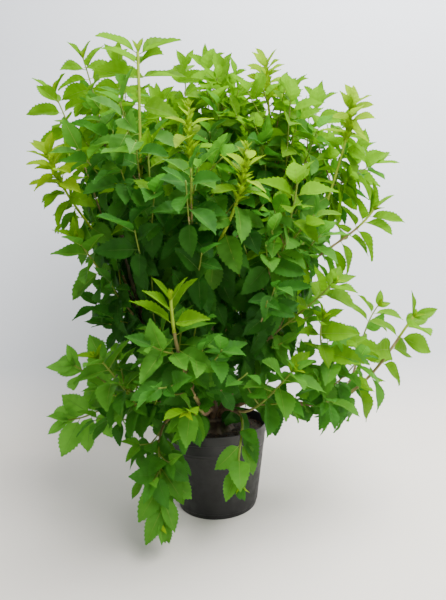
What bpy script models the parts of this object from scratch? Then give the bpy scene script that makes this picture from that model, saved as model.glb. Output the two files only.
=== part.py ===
"""A panicle hydrangea in its nursery pot: pot, compost, woody stool, canes and masses of leafy shoots.

Metres, +Z up. The origin is the middle of the pot's flat underside, and -Y is the front.
"""
import math
import random

import bmesh
import bpy
import numpy as np
from mathutils import Quaternion, Vector
from mathutils.bvhtree import BVHTree

UP = Vector((0, 0, 1))
DOWN = Vector((0, 0, -1))
SEAT_GAP = 0.0003
SEED = 3
CREASE = 40
LIMB_CREASE = 65

# Pot
POT_HEIGHT = 0.180
RIM_RADIUS = 0.1137
FOOT_RADIUS = 0.0871
POT_WALL = 0.0018
POT_FLOOR = 0.0030
BAND_HEIGHT = 0.020
BAND_STEP = 0.0022
FOOT_STEP_HEIGHT = 0.009
FOOT_STEP = 0.0016
POT_SIDES = 32
DRAIN_HOLES = 4
DRAIN_SIDES = 12
DRAIN_RADIUS = 0.007
DRAIN_RING = 0.060

# Compost
COMPOST_TOP = 0.160
COMPOST_DIP = 0.003

# Stool, the woody base that the canes rise from
STOOL_TOP = 0.198
STOOL_TOP_RADIUS = 0.036
STOOL_FOOT_RADIUS = 0.048
STOOL_SIDES = 14

# Canes
CANE_SIDES = 6
CANE_STEP = 0.022
CANE_FOOT_RADIUS = 0.0046
FORK_RADIUS = 0.0042
SINGLE_RADIUS = 0.0028
FOOT_LEAN_SHARE = 0.55
INNER_RING = 0.019
OUTER_RING = 0.031

# Shoots: three-sided stems
STEM_SIDES = 3
STEM_RADIUS = 0.0025
TIP_RADIUS = 0.0013
TWIG_RADIUS = 0.0020
FORK_OFFSET = 0.0026
CURVE_PULL = 0.36
STEM_STEP = 0.060
SPLIT_SHARE = 0.30

# Leaves
OLD_LEAF = 0.118
FULL_LEAF = 0.086
YOUNG_LEAF = 0.052
LOW_TIP_LEAF = 0.070
LOW_LEAN = 45
LEAF_SHAPE = 0.64
WIDEST = 0.42
LEAF_THICKNESS = 0.015
ROOT_SHARE = 0.4
ROOT_SINK = 0.0002
PAIR_OFFSET = 0.0022
YOUNG_DEPTH = 0.06
OLD_DEPTH = 0.26
FIRST_NODE = 0.006
NODE_STEP = 0.035
NODE_GROWTH = 0.017
LAST_NODE = 0.012
SHORT_SHARE = 0.65
LONG_SHOOT = 0.40
SIZE_RANGE = (0.92, 1.05)
BEND_RANGE = (12, 34)

# Leaf pose, in degrees: spread from the stem, sag below it, roll about the midrib
YOUNG_SPREAD = 38
OLD_SPREAD = 78
SPREAD_SWING = 8
SAG_DEPTH = 0.22
OLD_SAG = 38
HANGING_SAG = 35
SAG_RANGE = (-10, 14)
YOUNG_SAG_SHARE = 0.3
ROLL_SWING = 22
STEM_FACING = 0.35
OUTWARD_TILT = 0.05

# Trials of a leaf or side shoot: each later one swings further and is shorter
TRIES = 9
SHRINK = 0.05
SIDE_SHRINK = 0.08
SWING = 0.22
SWING_STEPS = 3
ROOT_CLEAR = 0.010
FLAT_ANGLE = 1.5

# Side shoots
AXIL_OFFSET = 0.009
SIDE_FROM = 0.11
SIDE_FOOT = 0.05
SIDE_LENGTH = 0.115
SIDE_SHARE = 0.55
SIDE_RANGE = (0.85, 1.15)
SIDE_SPREAD = (42, 60)
SIDE_SWING = 0.4
SIDE_UPTURN = 0.45
SIDE_THINNING = 0.9
SIDE_STEP = 0.055
SIDE_LEAVES = 3
SIDE_TIP_LEAF = 0.060
SIDE_MARGIN = 0.012
MASS_LEAVES = 25

# Space kept by each mass
MARK_STEP = 0.008
MASS_MARGIN = 0.002
MASS_REACH = 0.17
CANE_MARGIN = 0.0015
POT_MARGIN = 0.004
FLOOR_MARGIN = 0.010

# Canes: azimuth in degrees from +X, reach and height of the fork, lean there in degrees, ring of the foot
CANES = {
    "cane_left": (198, 0.110, 0.31, 25, INNER_RING),
    "cane_left_front": (231, 0.122, 0.29, 25, INNER_RING),
    "cane_front": (261, 0.112, 0.29, 28, INNER_RING),
    "cane_front_right": (297, 0.118, 0.29, 28, INNER_RING),
    "cane_right": (343, 0.118, 0.32, 22, INNER_RING),
    "cane_right_back": (24, 0.108, 0.32, 22, INNER_RING),
    "cane_left_back": (135, 0.112, 0.33, 18, INNER_RING),
    "cane_back": (86, 0.112, 0.30, 28, INNER_RING),
    "cane_middle": (90, 0.020, 0.35, 5, 0.0),
    "cane_arch": (339, 0.222, 0.230, 86, OUTER_RING),
    "cane_left_low": (203, 0.152, 0.250, 65, OUTER_RING),
    "cane_front_low": (264, 0.160, 0.245, 60, OUTER_RING),
    "cane_spill_right": (292, 0.133, 0.232, 85, OUTER_RING),
    "cane_spill_left": (234, 0.139, 0.226, 95, OUTER_RING),
}

# Masses: the cane each grows from, then azimuth, reach and height of each shoot's tip, and its lean there
MASSES = {
    "leaves_left_outer": ("cane_left", [(191, 0.310, 0.890, 22), (202, 0.322, 0.748, 15)]),
    "leaves_left_top": ("cane_left", [(180, 0.260, 0.990, 16), (156, 0.220, 1.010, 12)]),
    "leaves_front_left_top": ("cane_left_front", [(248, 0.259, 0.855, 0), (253, 0.282, 0.690, 10)]),
    "leaves_left_middle": ("cane_left_front", [(226, 0.305, 0.560, 35)]),
    "leaves_front_top": ("cane_front", [(267, 0.290, 0.740, 5), (282, 0.327, 0.650, 8)]),
    "leaves_front_right_top": ("cane_front_right", [(300, 0.305, 0.640, 15)]),
    "leaves_right_middle": ("cane_front_right", [(318, 0.310, 0.490, 45)]),
    "leaves_top_right": ("cane_right", [(343, 0.140, 0.900, 0), (320, 0.217, 0.820, 8)]),
    "leaves_right_outer": ("cane_right", [(343, 0.310, 0.820, 12), (351, 0.345, 0.618, 35)]),
    "leaves_right_top": ("cane_right_back", [(11, 0.266, 0.890, 12), (8, 0.355, 0.770, 25)]),
    "leaves_back_right": ("cane_right_back", [(44, 0.350, 0.720, 20), (44, 0.347, 0.420, 60)]),
    "leaves_top": ("cane_middle", [(0, 0.044, 0.940, 0), (86, 0.100, 1.010, 5)]),
    "leaves_back_top_right": ("cane_middle", [(59, 0.233, 0.950, 10)]),
    "leaves_back_top_left": ("cane_left_back", [(121, 0.233, 0.970, 8), (108, 0.147, 1.020, 0)]),
    "leaves_back_left": ("cane_left_back", [(141, 0.350, 0.740, 20), (134, 0.347, 0.450, 60)]),
    "leaves_back": ("cane_back", [(90, 0.330, 0.710, 15)]),
    "leaves_back_low": ("cane_back", [(90, 0.330, 0.400, 60)]),
    "leaves_right_arch": ("cane_arch", [(346, 0.420, 0.410, 35)]),
    "leaves_right_low": ("cane_arch", [(3, 0.372, 0.415, 40)]),
    "leaves_front_right_low": ("cane_arch", [(315, 0.282, 0.409, 25)]),
    "leaves_left_low": ("cane_left_low", [(203, 0.305, 0.345, 50), (156, 0.245, 0.320, 50)]),
    "leaves_left_foot": ("cane_left_low", [(197, 0.300, 0.218, 85)]),
    "leaves_front_low": ("cane_front_low", [(262, 0.343, 0.475, 5)]),
    "leaves_front_skirt": ("cane_front_low", [(264, 0.310, 0.290, 75)]),
    "leaves_front_right_skirt": ("cane_spill_right", [(300, 0.275, 0.330, 50)]),
    "leaves_spill_right": ("cane_spill_right", [(281, 0.224, 0.145, 150)]),
    "leaves_front_left_skirt": ("cane_spill_left", [(232, 0.295, 0.360, 45)]),
    "leaves_spill_left": ("cane_spill_left", [(248, 0.242, 0.085, 160)]),
}
LIME_MASSES = ("left_outer", "top", "right_outer", "right_arch")


def clear_scene():
    """Remove every object."""
    for item in list(bpy.data.objects):
        bpy.data.objects.remove(item, do_unlink=True)


def material(name, colour, roughness):
    """One plain surface."""
    made = bpy.data.materials.new(name)
    made.use_nodes = True
    shader = made.node_tree.nodes["Principled BSDF"]
    shader.inputs["Base Color"].default_value = (*colour, 1)
    shader.inputs["Roughness"].default_value = roughness
    shader.inputs["Metallic"].default_value = 0.0
    return made


def pot_material(name):
    """Matte charcoal plastic."""
    return material(name, (0.018, 0.019, 0.020), 0.55)


def compost_material(name):
    """Damp dark compost."""
    return material(name, (0.022, 0.014, 0.009), 0.95)


def stool_material(name):
    """Grey-brown bark at the foot."""
    return material(name, (0.105, 0.066, 0.038), 0.85)


def cane_material(name):
    """Tan bark of the canes."""
    return material(name, (0.200, 0.120, 0.060), 0.70)


def leaf_material(name):
    """Full green of grown leaves, or lime on the masses that hold the most young growth."""
    lime = any(word in name for word in LIME_MASSES)
    return material(name, (0.130, 0.330, 0.022) if lime else (0.060, 0.220, 0.018), 0.45)


def mesh_object(name, points, faces, surface):
    """Object made of points and faces, with its faces turned outward."""
    mesh = bpy.data.meshes.new(name)
    mesh.from_pydata([tuple(p) for p in points], [], faces)
    shape = bmesh.new()
    shape.from_mesh(mesh)
    bmesh.ops.recalc_face_normals(shape, faces=shape.faces)
    shape.to_mesh(mesh)
    shape.free()
    made = bpy.data.objects.new(name, mesh)
    bpy.context.scene.collection.objects.link(made)
    if surface is not None:
        mesh.materials.append(surface(name))
    return made


def shade_round(item, angle=CREASE):
    """Smooth shading with crisp edges where the surface turns sharply."""
    item.data.shade_smooth()
    item.data.set_sharp_from_angle(angle=math.radians(angle))


def turned(name, profile, sides, surface):
    """Closed solid turned from a profile of (radius, height) pairs that starts and ends on the axis."""
    shape = bmesh.new()
    line = [shape.verts.new((radius, 0, height)) for radius, height in profile]
    edges = [shape.edges.new(pair) for pair in zip(line, line[1:])]
    bmesh.ops.spin(shape, geom=line + edges, cent=(0, 0, 0), axis=(0, 0, 1), angle=math.tau, steps=sides,
                   use_duplicate=False)
    bmesh.ops.remove_doubles(shape, verts=shape.verts, dist=0.00005)
    bmesh.ops.recalc_face_normals(shape, faces=shape.faces)
    mesh = bpy.data.meshes.new(name)
    shape.to_mesh(mesh)
    shape.free()
    made = bpy.data.objects.new(name, mesh)
    bpy.context.scene.collection.objects.link(made)
    if surface is not None:
        mesh.materials.append(surface(name))
    return made


def wall_radius(height):
    """Outer radius of the pot's wall at a height, between the foot step and the band."""
    top = RIM_RADIUS - BAND_STEP
    return FOOT_RADIUS + (top - FOOT_RADIUS) * height / (POT_HEIGHT - BAND_HEIGHT)


def build_pot():
    """Thin tapering pot with a stepped foot, a rim band and drain holes in its flat floor."""
    band_foot = POT_HEIGHT - BAND_HEIGHT
    lip = POT_WALL / 3
    profile = [
        (0, 0),
        (FOOT_RADIUS - FOOT_STEP - 2 * lip, 0),
        (FOOT_RADIUS - FOOT_STEP, 2 * lip),
        (wall_radius(FOOT_STEP_HEIGHT) - FOOT_STEP, FOOT_STEP_HEIGHT),
        (wall_radius(FOOT_STEP_HEIGHT + FOOT_STEP), FOOT_STEP_HEIGHT + FOOT_STEP),
        (wall_radius(band_foot), band_foot),
        (RIM_RADIUS - lip, band_foot + BAND_STEP / 2),
        (RIM_RADIUS, POT_HEIGHT - lip),
        (RIM_RADIUS - lip, POT_HEIGHT),
        (RIM_RADIUS - POT_WALL, POT_HEIGHT),
        (RIM_RADIUS - POT_WALL - lip, POT_HEIGHT - lip),
        (wall_radius(band_foot) - POT_WALL, band_foot - BAND_STEP),
        (wall_radius(POT_FLOOR) - POT_WALL - FOOT_STEP, POT_FLOOR),
        (0, POT_FLOOR),
    ]
    pot = turned("pot", profile, POT_SIDES, pot_material)
    for number in range(DRAIN_HOLES):
        angle = math.tau * (number / DRAIN_HOLES + 0.5 / POT_SIDES)
        bpy.ops.mesh.primitive_cylinder_add(vertices=DRAIN_SIDES, radius=DRAIN_RADIUS, depth=4 * POT_FLOOR)
        drill = bpy.context.object
        drill.name = f"drill_{number}"
        drill.location = (DRAIN_RING * math.cos(angle), DRAIN_RING * math.sin(angle), POT_FLOOR / 2)
        drill.rotation_euler.z = angle
        cut = pot.modifiers.new(drill.name, "BOOLEAN")
        cut.operation = "DIFFERENCE"
        cut.object = drill
        drill.hide_render = True
        drill.display_type = "WIRE"
    shade_round(pot)
    return pot


def build_compost():
    """Fill of the pot, a seat gap clear of it, with a level patch for the stool."""
    floor = POT_FLOOR + SEAT_GAP
    foot = wall_radius(POT_FLOOR) - POT_WALL - FOOT_STEP - 2 * SEAT_GAP
    brim = wall_radius(COMPOST_TOP) - POT_WALL - 2 * SEAT_GAP
    profile = [
        (0, floor),
        (foot, floor + SEAT_GAP),
        (brim, COMPOST_TOP - COMPOST_DIP),
        ((brim + STOOL_FOOT_RADIUS) / 2, COMPOST_TOP - COMPOST_DIP / 2),
        (STOOL_FOOT_RADIUS + 2 * COMPOST_DIP, COMPOST_TOP),
        (0, COMPOST_TOP),
    ]
    compost = turned("compost", profile, POT_SIDES // 2, compost_material)
    shade_round(compost, LIMB_CREASE)
    return compost


def build_stool():
    """Woody base: root flare at the compost, waist, and a level crown where the canes stand."""
    foot = COMPOST_TOP + SEAT_GAP
    rise = STOOL_TOP - foot
    crown = STOOL_TOP_RADIUS / STOOL_FOOT_RADIUS
    shares = ((0.0, 1.0), (0.10, 0.93), (0.30, 0.80), (0.60, 0.73), (0.85, 0.77), (1.0, crown))
    profile = [(0, foot)]
    profile += [(STOOL_FOOT_RADIUS * width, foot + rise * share) for share, width in shares]
    profile += [(0, STOOL_TOP)]
    stool = turned("stool", profile, STOOL_SIDES, stool_material)
    shade_round(stool)
    return stool


def place(azimuth, reach, height):
    """Point at an azimuth in degrees, a reach from the axis and a height."""
    turn = math.radians(azimuth)
    return Vector((reach * math.cos(turn), reach * math.sin(turn), height))


def leaning(azimuth, lean):
    """Direction that leans so many degrees from upright, towards an azimuth."""
    tilt = math.radians(lean)
    return place(azimuth, math.sin(tilt), math.cos(tilt))


def arc(start, heading, end, ending, step):
    """Smooth curve from one point and heading to another, as points about a step apart."""
    span = (end - start).length
    near = start + heading * span * CURVE_PULL
    far = end - ending * span * CURVE_PULL
    count = max(2, round(span / step))
    line = []
    for number in range(count + 1):
        t = number / count
        s = 1 - t
        line.append(start * s ** 3 + near * 3 * s * s * t + far * 3 * s * t * t + end * t ** 3)
    return line


def lengths(line):
    """Distance along a line to each of its points."""
    total = [0.0]
    for a, b in zip(line, line[1:]):
        total.append(total[-1] + (b - a).length)
    return total


def along(line, distance):
    """Point and direction at a distance along a line."""
    marks = lengths(line)
    for number in range(1, len(line)):
        if distance <= marks[number] or number == len(line) - 1:
            share = (distance - marks[number - 1]) / (marks[number] - marks[number - 1])
            heading = (line[number] - line[number - 1]).normalized()
            return line[number - 1].lerp(line[number], share), heading


def tube(line, radii, sides, heading=None, ending=None):
    """Points and faces of a tapering tube with flat ends; the end faces can be given directions."""
    points = []
    last = len(line) - 1
    for number, centre in enumerate(line):
        direction = (line[min(number + 1, last)] - line[max(number - 1, 0)]).normalized()
        if number == 0 and heading is not None:
            direction = heading
        if number == last and ending is not None:
            direction = ending
        turn = UP.rotation_difference(direction)
        for side in range(sides):
            angle = math.tau * side / sides
            points.append(centre + turn @ Vector((math.cos(angle), math.sin(angle), 0)) * radii[number])
    faces = []
    for number in range(last):
        low, high = number * sides, (number + 1) * sides
        for side in range(sides):
            after = (side + 1) % sides
            faces.append((low + side, low + after, high + after))
            faces.append((low + side, high + after, high + side))
    faces.append(tuple(reversed(range(sides))))
    faces.append(tuple(range(last * sides, (last + 1) * sides)))
    return points, faces


def taper(line, first, final):
    """Radius at each point of a line, from its start to its tip."""
    marks = lengths(line)
    return [first + (final - first) * mark / marks[-1] for mark in marks]


def cane_line(name):
    """Curve of a cane from its foot on the stool to its fork, with the headings at both ends."""
    azimuth, reach, height, lean, ring = CANES[name]
    start = place(azimuth, ring, STOOL_TOP + SEAT_GAP)
    end = place(azimuth, reach, height)
    chord = math.degrees(math.atan2(reach - ring, height - start.z))
    line = arc(start, leaning(azimuth, chord * FOOT_LEAN_SHARE), end, leaning(azimuth, lean), CANE_STEP)
    return line, leaning(azimuth, lean)


def stems_of(cane):
    """Names of the masses that grow from a cane."""
    return [name for name, (parent, _) in MASSES.items() if parent == cane]


def build_cane(name):
    """One tapering limb from the stool to the fork where its shoots start."""
    line, ending = cane_line(name)
    final = FORK_RADIUS if len(stems_of(name)) > 1 else SINGLE_RADIUS
    radii = taper(line, CANE_FOOT_RADIUS, final)
    points, faces = tube(line, radii, CANE_SIDES, heading=UP, ending=ending)
    cane = mesh_object(name, points, faces, cane_material)
    shade_round(cane, LIMB_CREASE)
    return cane


def stem_start(mass):
    """Where a mass's stem starts: its share of the fork's end face, a seat gap beyond it."""
    cane, tips = MASSES[mass]
    line, ending = cane_line(cane)
    fork = line[-1] + ending * SEAT_GAP
    family = stems_of(cane)
    if len(family) == 1:
        return fork, ending
    turn = UP.rotation_difference(ending)
    bearing = {}
    for name in family:
        towards = turn.inverted() @ (place(*MASSES[name][1][0][:3]) - fork)
        bearing[name] = math.atan2(towards.y, towards.x)
    rows = bearing.values()
    middle = math.atan2(sum(math.sin(b) for b in rows), sum(math.cos(b) for b in rows))
    ranked = sorted(family, key=lambda name: math.remainder(bearing[name] - middle, math.tau))
    angle = middle + math.tau * (ranked.index(mass) - (len(family) - 1) / 2) / len(family)
    return fork + turn @ Vector((math.cos(angle), math.sin(angle), 0)) * FORK_OFFSET, ending


def leaders_of(mass):
    """Curves of a mass's main stem and the shoots that split from it, with first radius and tip leaf."""
    start, heading = stem_start(mass)
    leaders = []
    for number, (azimuth, reach, height, lean) in enumerate(MASSES[mass][1]):
        tip = place(azimuth, reach, height)
        ending = leaning(azimuth, lean)
        if number:
            main = leaders[0][0]
            start, heading = along(main, lengths(main)[-1] * SPLIT_SHARE)
        line = arc(start, heading, tip, ending, STEM_STEP)
        tip_leaf = blend(YOUNG_LEAF, LOW_TIP_LEAF, lean / LOW_LEAN)
        leaders.append((line, TWIG_RADIUS if number else STEM_RADIUS, tip_leaf))
    return leaders


def node_depths(length):
    """Depths of the leaf pairs below a shoot's tip: close together near the tip, wider below."""
    depths = []
    depth = FIRST_NODE
    step = NODE_STEP * blend(SHORT_SHARE, 1.0, length / LONG_SHOOT)
    while depth < length - LAST_NODE:
        depths.append(depth)
        depth += step
        step += NODE_GROWTH
    return depths


def blend(low, high, share):
    """Value between two others, held between them."""
    return low + (high - low) * min(1.0, max(0.0, share))


def side_way(heading, angle):
    """Direction square to a stem, turned about it by an angle."""
    return UP.rotation_difference(heading) @ Vector((math.cos(angle), math.sin(angle), 0))


def sagged(direction, outward, angle):
    """Direction tilted down by an angle in its own upright plane."""
    axis = (direction + outward * OUTWARD_TILT).cross(DOWN)
    if axis.length < OUTWARD_TILT / 2:
        return direction
    return Quaternion(axis.normalized(), angle) @ direction


def leaf_pose(heading, angle, depth, swing, rng):
    """Direction and facing of a leaf: young ones rise beside the tip, older ones spread and hang."""
    age = blend(0.0, 1.0, depth / SAG_DEPTH)
    outward = side_way(heading, angle + rng.uniform(-swing, swing))
    spread = blend(YOUNG_SPREAD, OLD_SPREAD, depth / YOUNG_DEPTH) + rng.uniform(-SPREAD_SWING, SPREAD_SWING)
    spread = math.radians(spread)
    direction = heading * math.cos(spread) + outward * math.sin(spread)
    sag = blend(0, OLD_SAG, age) + blend(0, HANGING_SAG, -heading.z)
    sag += rng.uniform(*SAG_RANGE) * (YOUNG_SAG_SHARE + age)
    direction = sagged(direction, outward, math.radians(sag)).normalized()
    facing = heading * STEM_FACING + UP * (1 - STEM_FACING)
    facing = (facing - direction * facing.dot(direction)).normalized()
    facing = Quaternion(direction, math.radians(rng.uniform(-ROLL_SWING, ROLL_SWING))) @ facing
    return direction, facing


def leaf_shape(base, direction, facing, length, bend):
    """Points and faces of one leaf: a pointed oval of eight faces that bends down past its widest line."""
    across = direction.cross(facing)
    thick = length * LEAF_THICKNESS
    root = base - direction * ROOT_SINK
    middle = root + direction * length * WIDEST
    outer = Quaternion(across, -bend) @ direction
    half = length * LEAF_SHAPE / 2
    points = [
        root + facing * thick * ROOT_SHARE,
        root - facing * thick * ROOT_SHARE,
        middle + across * half,
        middle - across * half,
        middle + outer * length * (1 - WIDEST),
        middle + facing * thick,
    ]
    faces = [(0, 2, 5), (2, 4, 5), (5, 4, 3), (0, 5, 3), (1, 3, 2), (2, 3, 4), (0, 1, 2), (0, 3, 1)]
    return points, faces


def triangles(faces):
    """Faces cut into triangles that fan from their first corner."""
    return [(face[0], face[n], face[n + 1]) for face in faces for n in range(1, len(face) - 1)]


class Shell:
    """Growing set of triangles that new pieces are tested against."""

    def __init__(self):
        self.points = []
        self.faces = []
        self.tree = None

    def add(self, points, faces):
        """Put a piece into the set."""
        first = len(self.points)
        self.points += [p.copy() for p in points]
        self.faces += [tuple(first + index for index in face) for face in triangles(faces)]
        self.tree = BVHTree.FromPolygons(self.points, self.faces)

    def hits(self, points, faces):
        """Whether a piece crosses the set."""
        if self.tree is None:
            return False
        other = BVHTree.FromPolygons(points, triangles(faces))
        return bool(self.tree.overlap(other))


class Spaces:
    """Space of each mass: the points that lie nearer to its own leaders than to any other's."""

    def __init__(self):
        self.own = {}
        for mass in MASSES:
            marks = []
            for line, _, _ in leaders_of(mass):
                total = lengths(line)[-1]
                count = max(2, round(total / MARK_STEP))
                marks += [tuple(along(line, total * n / count)[0]) for n in range(count + 1)]
            self.own[mass] = np.array(marks)
        self.rest = {m: np.vstack([a for n, a in self.own.items() if n != m]) for m in MASSES}

    def holds(self, mass, points, margin=MASS_MARGIN):
        """Whether all the points lie in a mass's space, above the floor and off the pot."""
        spots = np.array([tuple(p) for p in points])
        mine = np.linalg.norm(spots[:, None] - self.own[mass][None], axis=2).min(axis=1)
        others = np.linalg.norm(spots[:, None] - self.rest[mass][None], axis=2).min(axis=1)
        if (mine + margin > others).any() or mine.max() > MASS_REACH:
            return False
        if spots[:, 2].min() < FLOOR_MARGIN:
            return False
        radius = np.hypot(spots[:, 0], spots[:, 1])
        wall = RIM_RADIUS + POT_MARGIN
        return not ((spots[:, 2] < POT_HEIGHT + POT_MARGIN) & (radius < wall)).any()


def samples(points, faces):
    """Corners, edge middles and face middles of a piece."""
    spots = list(points)
    for a, b, c in triangles(faces):
        spots += [(points[a] + points[b]) / 2, (points[b] + points[c]) / 2]
        spots.append((points[a] + points[b] + points[c]) / 3)
    return spots


def limb_shell(mass):
    """Canes, stool and the other masses' leaders grown by their clearance, for a mass to stay out of."""
    shell = Shell()
    for name in MASSES:
        if name != mass:
            for line, first, _ in leaders_of(name):
                radii = [radius + CANE_MARGIN for radius in taper(line, first, TIP_RADIUS)]
                shell.add(*tube(line, radii, STEM_SIDES))
    for name in CANES:
        line, ending = cane_line(name)
        final = FORK_RADIUS if len(stems_of(name)) > 1 else SINGLE_RADIUS
        radii = [radius + CANE_MARGIN for radius in taper(line, CANE_FOOT_RADIUS, final)]
        shell.add(*tube(line, radii, CANE_SIDES, heading=UP, ending=ending))
    column = [Vector((0, 0, COMPOST_TOP)), Vector((0, 0, STOOL_TOP + CANE_MARGIN))]
    shell.add(*tube(column, [STOOL_FOOT_RADIUS + CANE_MARGIN] * 2, STOOL_SIDES))
    return shell


class Mass:
    """One mass of leaves: a stem with its shoots, and leaves in pairs along them."""

    def __init__(self, name, spaces):
        self.name = name
        self.spaces = spaces
        self.limbs = limb_shell(name)
        self.rng = random.Random(f"{SEED} {name}")
        self.solids = []
        self.shell = Shell()
        self.leaves = 0

    def add(self, points, faces):
        """Keep a piece for the union."""
        self.solids.append((points, faces))
        self.shell.add(points, faces)

    def mark(self):
        """Note of how much has grown."""
        return len(self.solids), self.leaves, len(self.shell.points), len(self.shell.faces)

    def undo(self, mark):
        """Drop what has grown since a note was made."""
        solids, self.leaves, points, faces = mark
        del self.solids[solids:]
        del self.shell.points[points:]
        del self.shell.faces[faces:]
        self.shell.tree = BVHTree.FromPolygons(self.shell.points, self.shell.faces)

    def add_stem(self, line, first, final, heading=None):
        """Three-sided tapering stem."""
        self.add(*tube(line, taper(line, first, final), STEM_SIDES, heading=heading))

    def try_leaf(self, base, heading, angle, depth, young):
        """Grow a leaf unless every pose tried leaves the space or touches something."""
        full = blend(young, FULL_LEAF, depth / YOUNG_DEPTH)
        full = blend(full, OLD_LEAF, (depth - YOUNG_DEPTH) / (OLD_DEPTH - YOUNG_DEPTH))
        for attempt in range(TRIES):
            swing = SWING * (1 + attempt / SWING_STEPS)
            direction, facing = leaf_pose(heading, angle, depth, swing, self.rng)
            length = full * self.rng.uniform(*SIZE_RANGE) * (1 - SHRINK * attempt)
            bend = math.radians(self.rng.uniform(*BEND_RANGE))
            points, faces = leaf_shape(base, direction, facing, length, bend)
            clear = [p + direction * ROOT_CLEAR if n < 2 else p for n, p in enumerate(points)]
            if not self.spaces.holds(self.name, samples(clear, faces)):
                continue
            if self.limbs.hits(clear, faces) or self.shell.hits(clear, faces):
                continue
            self.add(points, faces)
            self.leaves += 1
            return

    def clothe(self, line, turn, young):
        """Pairs of leaves along a shoot, each pair square to the last."""
        total = lengths(line)[-1]
        for number, depth in enumerate(node_depths(total)):
            for side in (0, 1):
                shift = PAIR_OFFSET * (1 if side else -1)
                base, heading = along(line, total - depth + shift)
                self.try_leaf(base, heading, turn + math.pi * (side + number / 2), depth, young)

    def side_shoot(self, line, depth, angle):
        """Short leafy shoot from a leaf's axil that curves up, if it fits and keeps enough leaves."""
        total = lengths(line)[-1]
        base, heading = along(line, total - depth + AXIL_OFFSET)
        for attempt in range(TRIES):
            length = min(SIDE_LENGTH, SIDE_SHARE * depth) * self.rng.uniform(*SIDE_RANGE)
            length *= 1 - SIDE_SHRINK * attempt
            spread = math.radians(self.rng.uniform(*SIDE_SPREAD))
            outward = side_way(heading, angle + self.rng.uniform(-SIDE_SWING, SIDE_SWING))
            way = heading * math.cos(spread) + outward * math.sin(spread)
            ending = (way + UP * SIDE_UPTURN).normalized()
            tip = base + (way + ending).normalized() * length
            shoot = arc(base, way, tip, ending, SIDE_STEP)
            points, faces = tube(shoot, taper(shoot, TWIG_RADIUS * SIDE_THINNING, TIP_RADIUS), STEM_SIDES)
            if not self.spaces.holds(self.name, points[STEM_SIDES:], MASS_MARGIN + SIDE_MARGIN):
                continue
            outer = faces[2 * STEM_SIDES:-2]
            if self.limbs.hits(points, outer) or self.shell.hits(points, outer):
                continue
            mark = self.mark()
            self.add(points, faces)
            self.clothe(shoot, self.rng.uniform(0, math.pi), SIDE_TIP_LEAF)
            if self.leaves - mark[1] >= SIDE_LEAVES:
                return True
            self.undo(mark)
        return False

    def grow(self):
        """Stem, shoots and leaves, from the leaders outward."""
        leaders = leaders_of(self.name)
        _, heading = stem_start(self.name)
        for number, (line, first, _) in enumerate(leaders):
            self.add_stem(line, first, TIP_RADIUS, heading=None if number else heading)
        turns = [self.rng.uniform(0, math.pi) for _ in leaders]
        for (line, _, young), turn in zip(leaders, turns):
            self.clothe(line, turn, young)
        for (line, _, _), turn in zip(leaders, turns):
            total = lengths(line)[-1]
            for number, depth in reversed(list(enumerate(node_depths(total)))):
                if depth < SIDE_FROM or depth > total - SIDE_FOOT or self.leaves > MASS_LEAVES:
                    continue
                for side in (0, 1):
                    if self.side_shoot(line, depth, turn + math.pi * (side + number / 2)):
                        break


def join(name, solids):
    """One closed solid from a stem and all that grows on it."""
    stem = mesh_object(name, *solids[0], leaf_material)
    group = bpy.data.collections.new(name + "_parts")
    for number, (points, faces) in enumerate(solids[1:]):
        item = mesh_object(f"{name}_{number}", points, faces, None)
        bpy.context.scene.collection.objects.unlink(item)
        group.objects.link(item)
    weld = stem.modifiers.new("weld", "BOOLEAN")
    weld.operation = "UNION"
    weld.operand_type = "COLLECTION"
    weld.collection = group
    weld.solver = "EXACT"
    graph = bpy.context.evaluated_depsgraph_get()
    solid = bpy.data.meshes.new_from_object(stem.evaluated_get(graph))
    stem.modifiers.clear()
    stem.data = solid
    solid.name = name
    for item in list(group.objects):
        bpy.data.objects.remove(item, do_unlink=True)
    bpy.data.collections.remove(group)
    keep_largest(solid)
    return stem


def keep_largest(mesh):
    """Drop loose scraps and the skins of sealed hollows, and leave triangles."""
    shape = bmesh.new()
    shape.from_mesh(mesh)
    flat = math.radians(FLAT_ANGLE)
    bmesh.ops.dissolve_limit(shape, angle_limit=flat, verts=shape.verts, edges=shape.edges)
    bmesh.ops.triangulate(shape, faces=shape.faces)
    unseen = set(shape.faces)
    bodies = []
    while unseen:
        body = [unseen.pop()]
        for face in body:
            for edge in face.edges:
                for neighbour in edge.link_faces:
                    if neighbour in unseen:
                        unseen.remove(neighbour)
                        body.append(neighbour)
        bodies.append(body)
    bodies.sort(key=len)
    scrap = [face for body in bodies[:-1] for face in body]
    bmesh.ops.delete(shape, geom=scrap, context="FACES")
    shape.to_mesh(mesh)
    shape.free()


def main():
    """Build every piece in place."""
    clear_scene()
    build_pot()
    build_compost()
    build_stool()
    for name in CANES:
        build_cane(name)
    spaces = Spaces()
    for name in MASSES:
        mass = Mass(name, spaces)
        mass.grow()
        join(name, mass.solids)


main()
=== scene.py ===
"""Looks of a panicle hydrangea in its nursery pot: leafy shoots, canes, compost and pot in a plain studio.

Metres, +Z up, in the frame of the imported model: the origin is the middle of the pot's flat underside, and -Y
is the front. A depth is measured down a shoot from its tip.
"""

import itertools
import math
import random
from dataclasses import dataclass

import bmesh
import bpy
import numpy as np
from mathutils import Matrix, Quaternion, Vector, noise
from mathutils.bvhtree import BVHTree


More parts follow.
